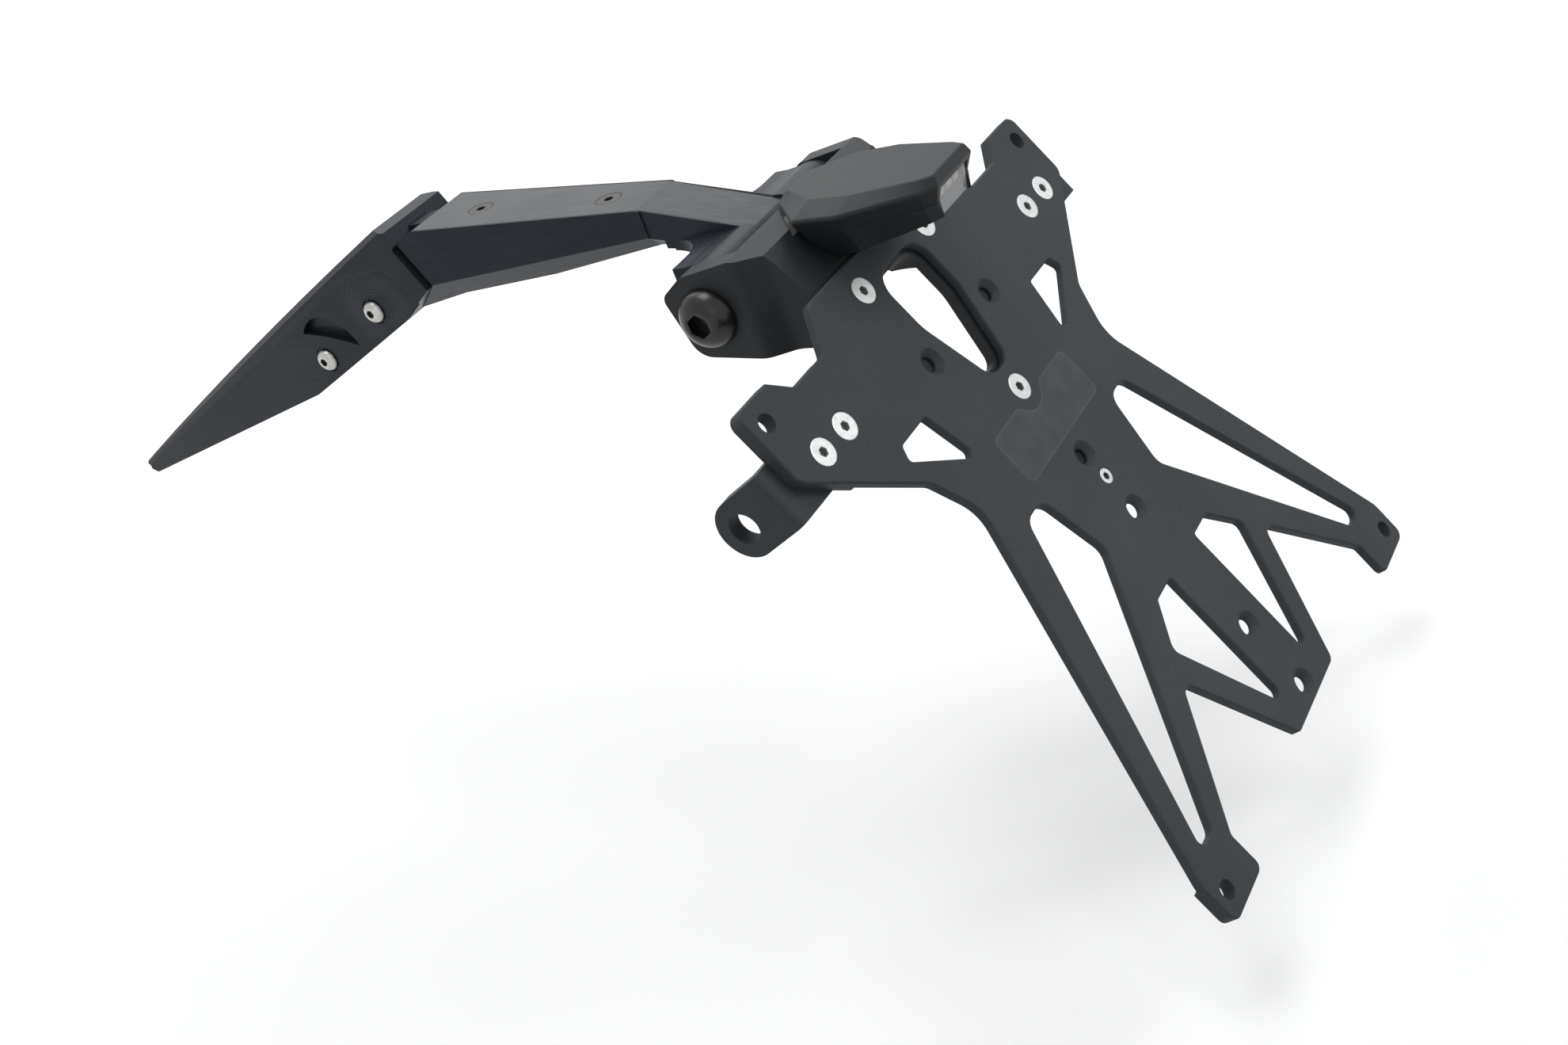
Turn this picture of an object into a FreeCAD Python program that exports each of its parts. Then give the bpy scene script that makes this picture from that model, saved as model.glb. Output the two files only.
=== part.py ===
import FreeCAD, Part
import math
import os

import Sketcher
from FreeCAD import Placement, Rotation, Vector

# Fender eliminator: a milled nose bolts under the tail of a motorbike, a bent arm runs back from
# it, and a moulded head that tilts on the end of the arm carries the number-plate holder, the
# plate lamp and two indicator brackets. Millimetres. X points right as seen by someone riding
# behind, Y points forward along the bike and Z points up. Everything is laid out from the tilt
# axis; the origin of the finished part is the mouth of the rear tail bolt's thread in the nose.

doc = FreeCAD.newDocument("fender_eliminator")

# Driving dimensions
PLATE_LEAN_DEG = 30         # lean of the plate from the vertical, degrees
PIVOT_DEPTH = 27.6          # tilt axis in front of the plate's face, along its normal
PIVOT_RISE = 22.5           # tilt axis above the top plate screws, along the plate
NOSE_SLOPE_DEG = 24.2       # slope of the nose, degrees down towards the front
NOSE_START = 128.3          # rear top edge of the nose in front of the tilt axis
NOSE_LEVEL = 26.9           # rear top edge of the nose above the tilt axis
RUNNING_GAP = 0.3           # air between the head and the arm
FIT_GAP = 0.05              # air round a pivot, tenon or screw
SEAT_GAP = 0.1              # air between two pieces that are screwed together
THROUGH = 120               # reach of a cut that goes right through

PLATE_THICKNESS = 2.5       # carrier sheet
PAD_RISE = 1.5              # extra thickness behind the wings and feet
PLATE_EDGE = 0.4            # broken edge round the sheet
TOP_HALF = 37.3             # half width of the top edge
TOP_RISE = 8.0              # top edge above the top screws
SHOULDER_HALF = 45.9        # half width where the shoulder ends
SHOULDER_DROP = 3.1         # shoulder below the top screws
STEP_HALF = 60.5            # foot of the step up to the wing
WING_INNER = 67.0           # half width where the wing's top edge starts
WING_RISE = 2.7             # wing's top edge above the top screws
WING_HALF = 81.6            # half width over the wings
WING_DROP = 18.8            # lower end of the wing's outer edge
FLANK_HALF = 50.0           # half width at the lower end of the wing's slope
FLANK_DROP = 43.8           # its depth below the top screws
WAIST_HALF = 43.3           # half width of the waist
WAIST_DROP = 58.0           # depth of the waist
FOOT_HALF = 81.3            # half width over the feet
KNEE_DROP = 155.4           # where the leg meets the foot's outer edge
FOOT_DROP = 168.0           # bottom of the feet
FOOT_INNER = 61.2           # inner edge of a foot
FOOT_INNER_DROP = 156.8     # its upper end
CROTCH_HALF = 35.1          # where leg and tongue meet
CROTCH_DROP = 126.6         # depth of that corner
TONGUE_HALF = 15.7          # half width of the tongue's bottom edge
TONGUE_DROP = 163.1         # depth of the tongue
PAD_INNER = 48.0            # inner edge of a wing pad
WING_PAD_DROP = 29.8        # lower edge of a wing pad
FOOT_PAD_INNER = 67.0       # inner edge of a foot pad
FOOT_PAD_DROP = 156.5       # upper edge of a foot pad

EYE_HALF = 11.5             # half width of the almond slot
EYE_TOP = 0.2               # its top below the top screws
EYE_WAIST = 17.5            # depth where it starts to taper
EYE_FOOT_HALF = 4.9         # half width at its foot
EYE_FOOT = 40.0             # depth of its foot
EYE_INSET = 1.2             # how far the head's opening lies inside the slot
LONG_TOP = 69.2             # top of a long slot
LONG_TOP_IN = 25.4          # inner end of its top edge
LONG_TOP_OUT = 34.3         # outer end of its top edge
LONG_KNEE_HALF = 20.3       # its inner corner
LONG_KNEE_DROP = 90.5       # depth of that corner
LONG_FOOT_IN = 65.4         # inner end of its bottom edge
LONG_FOOT_OUT = 72.5        # outer end of its bottom edge
LONG_FOOT = 151.8           # depth of its bottom edge
SMALL_TOP = 32.3            # top of a three-sided slot
SMALL_IN = 34.8             # inner end of its top edge
SMALL_OUT = 47.9            # outer end of its top edge
SMALL_EAR_HALF = 50.0       # its outer corner
SMALL_EAR_DROP = 36.3       # depth of that corner
SMALL_TIP_HALF = 30.4       # its lower tip
SMALL_TIP_DROP = 49.9       # depth of that tip
INNER_IN = 10.0             # inner edge of a slot beside the tongue
INNER_TOP = 110.0           # its top
INNER_OUT = 19.5            # outer end of its top edge
INNER_EAR_HALF = 28.9       # its outer corner
INNER_EAR_DROP = 120.4      # depth of that corner
INNER_TIP_DROP = 159.0      # depth of its tip

SCREW_SIZE = 4.0            # plate, bracket and cover screws
SCREW_HEAD = 7.6            # head diameter of those screws
SCREW_LENGTH = 8.0          # length of those screws, head included
HEX_SIZE = 2.5              # socket of those screws
HEX_DEPTH = 1.8             # depth of a socket
HEAD_RIM = 0.05             # straight rim of a flat screw's head
HEAD_SUNK = 0.05            # flat screws below the face
SCREW_TIP = 0.4             # bevel at a screw's tip
CLEAR_HOLE = 4.4            # clearance hole under it
TOP_SCREW_HALF = 18.25      # top plate screws beside the middle
LOW_SCREW_DROP = 47.1       # lower plate screw
SPARE_HALF = 18.35          # upper spare holes beside the middle
SPARE_DROP = 25.0           # upper spare holes below the top screws
SPARE_LOW_DROP = 72.0       # lower spare hole
PLATE_HOLE_A = 92.0         # first hole for a number plate below the top screws
PLATE_HOLE_B = 136.0        # second hole
PLATE_HOLE_C = 158.0        # third hole
CORNER_HALF = 75.75         # threaded corner holes beside the middle
CORNER_TOP = 3.9            # upper corner holes below the top screws
CORNER_LOW = 161.65         # lower corner holes
CORNER_BORE = 5.1           # minor diameter of the corner threads
SET_SCREW_DROP = 80.2       # small set screw
SET_SCREW_SIZE = 4.5        # its diameter
SET_SCREW_HEX = 2.0         # its socket
BRACKET_SCREW_IN = 57.65    # inner bracket screw beside the middle
BRACKET_SCREW_OUT = 69.0    # outer bracket screw beside the middle
BRACKET_DROP = 18.35        # bracket screws below the top screws

BRACKET_WALL = 4.5          # bracket stock
BRACKET_HEIGHT = 16.1       # bracket height along the plate
BRACKET_INNER = 50.0        # inner end of the bracket's flange
BRACKET_OUTER = 87.0        # outer face of the bracket's ear
EAR_REACH = 18.9            # indicator hole in front of the plate's face
EAR_BORE = 8.5              # indicator hole

HEAD_HALF = 36.4            # half width over the cheeks
CHEEK_TOP_Y = 4.6           # cheek corner points, from the tilt axis
CHEEK_TOP_Z = 11.6          # cheek corner points, from the tilt axis
CHEEK_NOSE_Y = 12.4         # cheek corner points, from the tilt axis
CHEEK_NOSE_Z = 6.4          # cheek corner points, from the tilt axis
CHEEK_CHIN_Y = 7.8          # cheek corner points, from the tilt axis
CHEEK_CHIN_Z = -11.2        # cheek corner points, from the tilt axis
HEAD_FLOOR_Y = -17.5        # underside behind the cheeks
HEAD_FLOOR_Z = -13.8        # underside behind the cheeks
HEAD_BACK_LOW = -8.95       # lower edge of the head on the plate's back
HEAD_BACK_HIGH = 9.5        # upper edge of the head on the plate's back
RIDGE_Y = -19.3             # ridge behind the lamp seat
RIDGE_Z = 12.8              # ridge behind the lamp seat
CROWN_Y = -11.2             # top of the cheeks
CROWN_Z = 14.3              # top of the cheeks
CREASE_Y = -12.7            # where the head's sides start to draw in
RIDGE_HALF = 31.2           # half width at the ridge
BACK_HALF = 30.2            # half width at the plate
BARREL_RADIUS = 12.0        # barrel on the end of the arm
BARREL_HALF = 29.5          # half length of the barrel
COLLAR_Y = -10.7            # front face of the collar over the arm's end
LIP_Y = -7.2                # front edge of the lip under the barrel
ARM_END_RADIUS = 13.2       # rounded end of the arm's middle
ARM_END_REACH = 9.7         # how far that end reaches behind the tilt axis
ARM_END_HALF = 9.2          # half width of the arm's end
BOLT_SIZE = 8.0             # pivot bolt
BOLT_HEAD = 16.4            # head diameter of a pivot bolt
BOLT_HEAD_RISE = 5.2        # height of that head
BOLT_HEX = 6.0              # its socket
BOLT_HEX_DEPTH = 3.2        # depth of that socket
BOLT_GRIP = 16.0            # pivot bolt inside the barrel
DOME_FLAT = 0.5             # flat on a domed head, as a share of its radius
DOME_RIM = 0.12             # its straight rim, as a share of its height
DOME_SWELL = 0.06           # how far the dome's curve stands out, as a share of its radius
DOME_CREST = 0.66           # height of that point, as a share of its height
BOLT_SEAT_GAP = 0.15        # air under a pivot bolt's head
FLANGE_THICKNESS = 3.3      # flange behind the sheet
FLANGE_HALF = 26.5          # half width of the flange
FLANGE_MID_DROP = 46.0      # where the flange narrows
FLANGE_FOOT_HALF = 9.0      # half width at its foot
FLANGE_FOOT_DROP = 78.0     # its foot
INSERT_SIZE = 5.6           # brass insert
INSERT_LENGTH = 5.0         # its length
BOSS_SIZE = 10.0            # boss round the lower insert

LAMP_SEAT = 11.3            # lamp seat above the tilt axis
LAMP_TOP = 18.6             # top of the lamp above the tilt axis
LAMP_SLOPE_FALL = 2.8       # fall of the sloping rim of the lamp
LAMP_UNDERCUT = 2.0         # how far the lamp draws in below its widest edge
LAMP_ROUND = 1.0            # rounded edges of the lamp
LENS_INSET = 0.4            # lens inside the lamp's rear edge
LENS_LEAN = 1.6             # how far the lens's foot stands in front of its top
FLAT_FRONT_HALF = 5.0       # flat on top of the lamp, half width of its front edge
FLAT_FRONT_Y = -14.0        # flat on top, front edge
FLAT_EAR_HALF = 13.5        # flat on top, front corner
FLAT_EAR_Y = -25.5          # flat on top, its place
FLAT_SIDE_HALF = 14.6       # flat on top, rear corner
FLAT_SIDE_Y = -38.0         # flat on top, its place
FLAT_HIP_HALF = 10.9        # flat on top, corner before the rear end
FLAT_HIP_Y = -55.4          # flat on top, its place
FLAT_REAR_HALF = 9.0        # flat on top, half width of the rear end
FLAT_REAR_Y = -59.6         # flat on top, rear end
LAMP_FRONT_HALF = 7.0       # lamp outline, half width of the front edge
LAMP_FRONT_Y = -11.0        # lamp outline, front edge
LAMP_EAR_HALF = 20.5        # lamp outline, widest front corner
LAMP_EAR_Y = -22.5          # lamp outline, its place
LAMP_SIDE_HALF = 20.9       # lamp outline, widest rear corner
LAMP_SIDE_Y = -36.0         # lamp outline, its place
LAMP_HIP_HALF = 13.4        # lamp outline, corner before the rear end
LAMP_HIP_Y = -56.5          # lamp outline, its place
LAMP_REAR_HALF = 10.2       # lamp outline, half width of the rear end
LAMP_REAR_Y = -60.3         # lamp outline, rear end
LAMP_WALL = 1.6             # lamp wall
LAMP_ROOF = 3.7             # roof over the lamp's hollow
KEEL_FRONT_Z = 2.0          # underside of the lamp at the plate
KEEL_FRONT_Y = -28.0        # underside of the lamp at the plate
KEEL_REAR_Z = 6.6           # underside of the lamp at the rear
KEEL_REAR_Y = -55.6         # underside of the lamp at the rear
KEEL_SHARE = 0.62           # width of the keel beside the lamp's outline
LENS_DEPTH = 4.2            # length of the lens
LENS_RIM = 2.2              # roof over the lens
BOARD_THICKNESS = 1.0       # lamp board
BOARD_HALF = 6.2            # half width of the lamp board
BOARD_HEIGHT = 3.0          # height of the lamp board
CHIP_SIZE = 2.8             # light-emitting chip
CHIP_RISE = 0.7             # its height
CHIP_PITCH = 4.2            # distance between chips
LAMP_SCREW_SIZE = 3.0       # lamp screws
LAMP_SCREW_HEAD = 5.5       # their heads
LAMP_SCREW_HALF = 9.0       # lamp screws beside the middle
LAMP_SCREW_Y = -23.6        # lamp screws behind the tilt axis
LAMP_SCREW_LENGTH = 13.5    # lamp screws, head included
LAMP_SCREW_TOP = 10.6       # tip of the lamp screws above the tilt axis

ARM_KINK_Y = 32.7           # top kink of the arm
ARM_KINK_Z = 20.3           # top kink of the arm
ARM_FRONT_Y = 112.9         # front end of the cover
ARM_FRONT_Z = 25.1          # front end of the cover
ARM_BEVEL_Y = 121.5         # foot of the bevel in front of the cover
ARM_BEVEL_Z = 21.6          # foot of the bevel in front of the cover
ARM_REAR_Y = -4.4           # point on the rear slope
ARM_REAR_Z = 10.1           # point on the rear slope
ARM_TIP_Y = 132.8           # front end of the underside
ARM_TIP_Z = -3.1            # front end of the underside
ARM_LOW_Y = 109.1           # underside corner
ARM_LOW_Z = 1.0             # underside corner
ARM_BELLY_Y = 73.4          # underside corner
ARM_BELLY_Z = 2.8           # underside corner
ARM_KNEE_Y = 28.8           # underside kink
ARM_KNEE_Z = 8.5            # underside kink
ARM_ROOT_Y = 16.5           # underside where it runs into the barrel
ARM_ROOT_Z = 7.0            # underside where it runs into the barrel
ARM_KINK_HALF = 9.7         # half width at the kink
ARM_FRONT_HALF = 12.8       # half width at the cover's front end
ARM_NECK_HALF = 12.9        # half width at the nose
ARM_NECK_Y = 123.0          # where the arm meets the nose
BEVEL_HALF = 6.0            # half width of the underside
FLARE_Y = 12.2              # front of the barrel flare
FLARE_ROUND = 12.0          # concave round between arm and barrel
COVER_THICKNESS = 2.0       # arm cover
COVER_LIP = 0.65            # arm wall beside the cover
COVER_REAR_Y = -3.0         # rear end of the cover
CHANNEL_HALF = 6.5          # half width of the cable channel
CHANNEL_DEPTH = 7.0         # depth of the cable channel below the top
CHANNEL_FRONT_Y = 106.0     # front end of the channel
CHANNEL_REAR_Y = 2.0        # rear end of the channel
POST_SIZE = 6.6             # screw posts in the channel
COVER_SCREW_FRONT = 95.3    # front cover screw in front of the tilt axis
COVER_SCREW_REAR = 48.1     # rear cover screw in front of the tilt axis

NOSE_REAR = -4.6            # rear face of the nose, along its slope
NOSE_LENGTH = 201.0         # rear top edge to the tip
NOSE_CROWN = 1.7            # rise of the curved top edge
NOSE_TIP_RISE = 0.8         # top edge at the tip
NOSE_REAR_HALF = 14.0       # half width at the rear
NOSE_TIP_HALF = 2.6         # half width at the tip
NOSE_BEVEL = 2.9            # depth of the rear bevel
NOSE_BACK_DROP = 23.4       # underside at the rear face
NOSE_HEEL = 16.4            # where the arm's underside ends
NOSE_HEEL_DROP = 26.0       # underside there
NOSE_BELLY = 82.6           # underside corner
NOSE_BELLY_DROP = 24.2      # underside there
NOSE_TIP_DROP = 4.8         # underside at the tip
NOSE_EDGE = 1.8             # bevel along the top edges
TENON_HALF = 4.4            # half width of the tenon
TENON_TOP = 5.6             # top of the tenon below the nose's edge
TENON_FOOT = 22.2           # underside of the tenon
TENON_LENGTH = 70.0         # front end of the tenon
SOCKET_END = 1.5            # air in front of the tenon
SCOOP_DEPTH = 2.2           # hollow milled in each side of the nose
SCOOP_BANK_DEG = 48         # slope of the bank round that hollow
SCOOP_REAR = 3.0            # rear end of the hollow's floor, along the nose
SCOOP_BEND = 7.5            # where its rear end bends forward
SCOOP_BEND_DROP = 12.0      # depth of that bend below the edge
SCOOP_CREST = 28.0          # where its upper edge straightens
SCOOP_CREST_DROP = 4.6      # depth of that place
SCOOP_TIP_DROP = 0.6        # the upper edge's depth at the tip
JOINT_GROOVE = 1.8          # groove between nose and arm
JOINT_GROOVE_DEPTH = 3.2    # its depth
JOINT_GROOVE_DROP = 8.0     # its upper end below the edge
NOSE_SCREW_A = 27.4         # rear side screw along the nose
NOSE_SCREW_A_DROP = 17.2    # its depth below the edge
NOSE_SCREW_B = 64.5         # front side screw along the nose
NOSE_SCREW_B_DROP = 18.0    # its depth below the edge
NOSE_SCREW_SINK = 2.6       # how deep the heads sit below the wall
NOSE_BORE = 9.0             # counterbore for a side screw
BUTTON_RISE = 2.2           # height of a side screw's head
SCREW_MIDDLE = 1.2          # tip of a side screw from the middle plane
WINDOW_FRONT = 65.0         # front horn of the crescent window
WINDOW_FRONT_DROP = 6.9     # its depth below the edge
WINDOW_REAR = 45.6          # lower horn of the crescent window
WINDOW_REAR_DROP = 21.6     # its depth below the edge
WINDOW_WIDE = 48.8          # outermost point of the window's arc
WINDOW_WIDE_DROP = 9.2      # its depth below the edge
WINDOW_SLIM = 55.2          # inner point of the window's arc
WINDOW_SLIM_DROP = 13.4     # its depth below the edge
WINDOW_DEPTH = 4.8          # depth of the window
TAIL_BOLT_A = 90.0          # rear tail bolt along the nose
TAIL_BOLT_B = 140.0         # front tail bolt along the nose
TAIL_THREAD = 5.0           # minor diameter of the tail threads
TAIL_DEPTH = 10.0           # depth of the tail threads

# Sizes that follow from the others, worked out by the sheet
FORMULAS = {
    "tapped_bore": "=screw_size + 2 * fit_gap",
    "bolt_bore": "=bolt_size + 2 * fit_gap",
    "insert_bore": "=insert_size + 2 * fit_gap",
    "lamp_screw_bore": "=lamp_screw_size + 2 * fit_gap",
    "lamp_screw_room": "=lamp_screw_size + 2 * seat_gap",
    "lamp_head_room": "=lamp_screw_head + 2 * running_gap",
    "barrel_size": "=2 * barrel_radius",
    "barrel_room": "=2 * (barrel_radius + running_gap + seat_gap)",
    "arm_end_room": "=2 * (arm_end_radius + 2 * running_gap + seat_gap)",
    "set_screw_stud": "=set_screw_size - 2 * fit_gap",
    "mouth": "=screw_head + 2 * (head_sunk + head_rim + fit_gap)",
}

# The sheet drives the features; the places and outlines below use the same numbers
SIZES = {name.lower(): value for name, value in globals().items()
         if name.isupper() and isinstance(value, (int, float))}
sheet = doc.addObject("Spreadsheet::Sheet", "Dimensions")
for row, (name, value) in enumerate([*SIZES.items(), *FORMULAS.items()], start=1):
    sheet.set("A%d" % row, name)
    sheet.set("B%d" % row, str(value))
    sheet.setAlias("B%d" % row, name)
doc.recompute()
for name in FORMULAS:
    SIZES[name] = float(sheet.get(name))
SUBPARTS = []


# Places
def turn_x(degrees):
    return Rotation(Vector(1, 0, 0), degrees)


# The plate's own frame: x right, y up the plate, z out of its face; zero at the top screws' line
PLATE_TURN = turn_x(90 - PLATE_LEAN_DEG)
PLATE_BASE = PLATE_TURN.multVec(Vector(0, PIVOT_RISE, -PIVOT_DEPTH))
ON_PLATE = Placement(PLATE_BASE.negative(), PLATE_TURN)
# The nose's own frame: y forward down its slope, z square to it; zero at its rear top edge
ON_NOSE = Placement(Vector(0, NOSE_START, NOSE_LEVEL), turn_x(-NOSE_SLOPE_DEG))


def nose_top(along):
    """Height of the nose's curved top edge: a shallow arch from the rear edge to the tip."""
    share = along / NOSE_LENGTH
    return NOSE_TIP_RISE * share + 4 * (NOSE_CROWN - NOSE_TIP_RISE / 2) * share * (1 - share)


ORIGIN = ON_NOSE.multVec(Vector(0, TAIL_BOLT_A, nose_top(TAIL_BOLT_A)))
AT_PIVOT = Placement(ORIGIN.negative(), Rotation())
AT_PLATE = AT_PIVOT * ON_PLATE
AT_NOSE = AT_PIVOT * ON_NOSE


def plate_point(up, out):
    """Level coordinates (y, z) of a point given up the plate and out of its face."""
    point = ON_PLATE.multVec(Vector(0, up, out))
    return point.y, point.z


# Outlines
def inset(points, gap):
    """Move every side of a closed outline inwards by gap; outwards where gap is negative."""
    count = len(points)
    area = sum(points[i][0] * points[(i + 1) % count][1] - points[(i + 1) % count][0] * points[i][1]
               for i in range(count))
    side = 1 if area > 0 else -1
    lines = []
    for i in range(count):
        ax, ay = points[i][:2]
        bx, by = points[(i + 1) % count][:2]
        length = math.hypot(bx - ax, by - ay)
        nx, ny = -(by - ay) / length * side, (bx - ax) / length * side
        lines.append((nx, ny, nx * ax + ny * ay + gap))
    moved = []
    for i in range(count):
        ax, ay, ac = lines[i - 1]
        bx, by, bc = lines[i]
        det = ax * by - ay * bx
        radius = points[i][2] if len(points[i]) > 2 else 0
        moved.append(((ac * by - ay * bc) / det, (ax * bc - ac * bx) / det, max(radius - gap, 0)
                      if radius else 0))
    return moved


def mirrored(points):
    """The same outline on the left of the middle line."""
    return [(-p[0],) + tuple(p[1:]) for p in reversed(points)]


def both_sides(points):
    """Close a right-hand half outline with its mirror image."""
    return list(points) + mirrored(points)


def add_outline(sketch, points):
    """Draw a closed outline; a third number rounds that corner."""
    count = len(points)
    starts, ends, arcs = [], [], []
    for i in range(count):
        corner = Vector(points[i][0], points[i][1], 0)
        radius = points[i][2] if len(points[i]) > 2 else 0
        if not radius:
            starts.append(corner)
            ends.append(corner)
            continue
        before = (Vector(*points[i - 1][:2], 0) - corner).normalize()
        after = (Vector(*points[(i + 1) % count][:2], 0) - corner).normalize()
        half = before.getAngle(after) / 2
        reach = radius / math.tan(half)
        middle = (before + after).normalize()
        crest = corner + middle * (radius / math.sin(half) - radius)
        ends.append(corner + before * reach)
        starts.append(corner + after * reach)
        arcs.append((ends[-1], crest, starts[-1]))
    for i in range(count):
        j = (i + 1) % count
        if (ends[j] - starts[i]).Length > 1e-6:
            sketch.addGeometry(Part.LineSegment(starts[i], ends[j]), False)
    for first, crest, last in arcs:
        sketch.addGeometry(Part.Arc(first, crest, last), False)


def add_circle(sketch, x, y, diameter):
    """Draw a circle whose diameter follows the sheet."""
    value = SIZES[diameter]
    index = sketch.addGeometry(Part.Circle(Vector(x, y, 0), Vector(0, 0, 1), value / 2), False)
    rule = sketch.addConstraint(Sketcher.Constraint("Diameter", index, value))
    sketch.setExpression("Constraints[%d]" % rule, "Dimensions." + diameter)


# Bodies and features
def new_body(label, place):
    body = doc.addObject("PartDesign::Body", label)
    body.Label = label
    body.Placement = place
    return body


def new_sketch(body, name, role, offset=Placement()):
    sketch = body.newObject("Sketcher::SketchObject", body.Name + "_" + name)
    plane = [f for f in body.Origin.OriginFeatures if f.Role == role][0]
    sketch.AttachmentSupport = (plane, "")
    sketch.MapMode = "FlatFace"
    sketch.AttachmentOffset = offset
    return sketch


def drawn(body, name, role, outlines, offset=Placement()):
    sketch = new_sketch(body, name, role, offset)
    for points in outlines:
        add_outline(sketch, points)
    return sketch


def lift(height):
    return Placement(Vector(0, 0, height), Rotation())


def feature(body, kind, name, sketch, length=None, symmetric=False, reverse=False):
    item = body.newObject("PartDesign::" + kind, body.Name + "_" + name)
    item.Profile = sketch
    if symmetric:
        item.SideType = "Symmetric"
    item.Reversed = reverse
    if length:
        item.setExpression("Length", length)
    sketch.Visibility = False
    return item


def pad(body, name, sketch, length, symmetric=False, reverse=False):
    return feature(body, "Pad", name, sketch, length, symmetric, reverse)


def pocket(body, name, sketch, length, symmetric=False, reverse=False):
    return feature(body, "Pocket", name, sketch, length, symmetric, reverse)


def cut_through(body, name, sketch):
    return pocket(body, name, sketch, "2 * Dimensions.through", symmetric=True)


def loft(body, kind, name, sketches):
    item = body.newObject("PartDesign::" + kind, body.Name + "_" + name)
    item.Profile = sketches[0]
    item.Sections = sketches[1:]
    item.Ruled = True
    return item


def edges_where(body, test):
    """Names of the edges of the body's last shape for which test is true."""
    doc.recompute()
    shape = body.Tip.Shape
    return ["Edge%d" % (i + 1) for i, edge in enumerate(shape.Edges) if test(edge)]


def dress(body, kind, name, names, **settings):
    """Fillet or chamfer the named edges of the body's tip."""
    tip = body.Tip
    item = body.newObject("PartDesign::" + kind, body.Name + "_" + name)
    item.Base = (tip, names)
    for key, value in settings.items():
        if isinstance(value, str) and value.startswith("Dimensions"):
            item.setExpression(key, value)
        else:
            setattr(item, key, value)
    return item


def keep(item, label):
    item.Label = label
    SUBPARTS.append((label, item))
    return item


def group(label, items):
    """Several equal loose pieces that share one node."""
    item = doc.addObject("Part::Compound", label)
    item.Links = items
    return keep(item, label)


def in_plane(edge, value, axis):
    box = edge.BoundBox
    low, high = {"x": (box.XMin, box.XMax), "y": (box.YMin, box.YMax), "z": (box.ZMin, box.ZMax)}[axis]
    return abs(low - value) < 1e-3 and abs(high - value) < 1e-3


# Screws: the head's top is at local zero and the shank points down local z
def hexagon(across):
    radius = across / math.sqrt(3)
    return [(radius * math.cos(math.radians(60 * i)), radius * math.sin(math.radians(60 * i)))
            for i in range(6)]


def flat_screw(label, place, shank="screw_size", head="screw_head", length="screw_length", hexa="hex_size"):
    body = new_body(label, place)
    shank_r, head_r, reach = SIZES[shank] / 2, SIZES[head] / 2, SIZES[length]
    half = [(0, 0), (head_r, 0), (head_r, -HEAD_RIM), (shank_r, -HEAD_RIM - (head_r - shank_r)),
            (shank_r, -reach + SCREW_TIP), (shank_r - SCREW_TIP, -reach), (0, -reach)]
    turned = body.newObject("PartDesign::Revolution", label + "_turned")
    profile = drawn(body, "profile", "XZ_Plane", [half])
    turned.Profile = profile
    turned.ReferenceAxis = (profile, ["V_Axis"])
    turned.Angle = 360
    pocket(body, "socket", drawn(body, "hex", "XY_Plane", [hexagon(SIZES[hexa])]), "Dimensions.hex_depth")
    return body


def button_screw(label, place, shank, head, rise, reach, hexa, depth):
    """Domed screw: its bearing face is at local zero and the dome rises above it."""
    body = new_body(label, place)
    shank_r, head_r = SIZES[shank] / 2, SIZES[head] / 2
    top = SIZES[rise]
    flat = head_r * DOME_FLAT
    rim = top * DOME_RIM
    sketch = new_sketch(body, "profile", "XZ_Plane")
    corners = [Vector(head_r, rim, 0), Vector(head_r, 0, 0), Vector(shank_r, 0, 0),
               Vector(shank_r, -reach + SCREW_TIP, 0), Vector(shank_r - SCREW_TIP, -reach, 0),
               Vector(0, -reach, 0),
               Vector(0, top, 0), Vector(flat, top, 0)]
    for first, last in zip(corners, corners[1:]):
        sketch.addGeometry(Part.LineSegment(first, last), False)
    crest = Vector((flat + head_r) / 2 + head_r * DOME_SWELL, rim + (top - rim) * DOME_CREST, 0)
    sketch.addGeometry(Part.Arc(corners[-1], crest, corners[0]), False)
    turned = body.newObject("PartDesign::Revolution", label + "_turned")
    turned.Profile = sketch
    turned.ReferenceAxis = (sketch, ["V_Axis"])
    turned.Angle = 360
    hexes = drawn(body, "hex", "XY_Plane", [hexagon(SIZES[hexa])], lift(top))
    pocket(body, "socket", hexes, "Dimensions." + depth)
    return body


# Plate carrier
def plate_outline():
    half = [
        (TOP_HALF, TOP_RISE, 4), (SHOULDER_HALF, -SHOULDER_DROP, 1.2),
        (STEP_HALF, -SHOULDER_DROP, 1.2), (WING_INNER, WING_RISE, 1.2),
        (WING_HALF, WING_RISE, 3), (WING_HALF, -WING_DROP, 4),
        (FLANK_HALF, -FLANK_DROP, 5), (WAIST_HALF, -WAIST_DROP, 12),
        (FOOT_HALF, -KNEE_DROP, 6), (FOOT_HALF, -FOOT_DROP, 3),
        (FOOT_INNER, -FOOT_DROP, 2.5), (FOOT_INNER, -FOOT_INNER_DROP, 2),
        (CROTCH_HALF, -CROTCH_DROP, 2.5), (TONGUE_HALF, -TONGUE_DROP, 2.5)]
    return both_sides(half)


def eye_outline():
    half = [(EYE_HALF, -EYE_TOP, 6.5), (EYE_HALF, -EYE_WAIST, 14),
            (EYE_FOOT_HALF, -EYE_FOOT, 5.6)]
    return both_sides(half)


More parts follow.
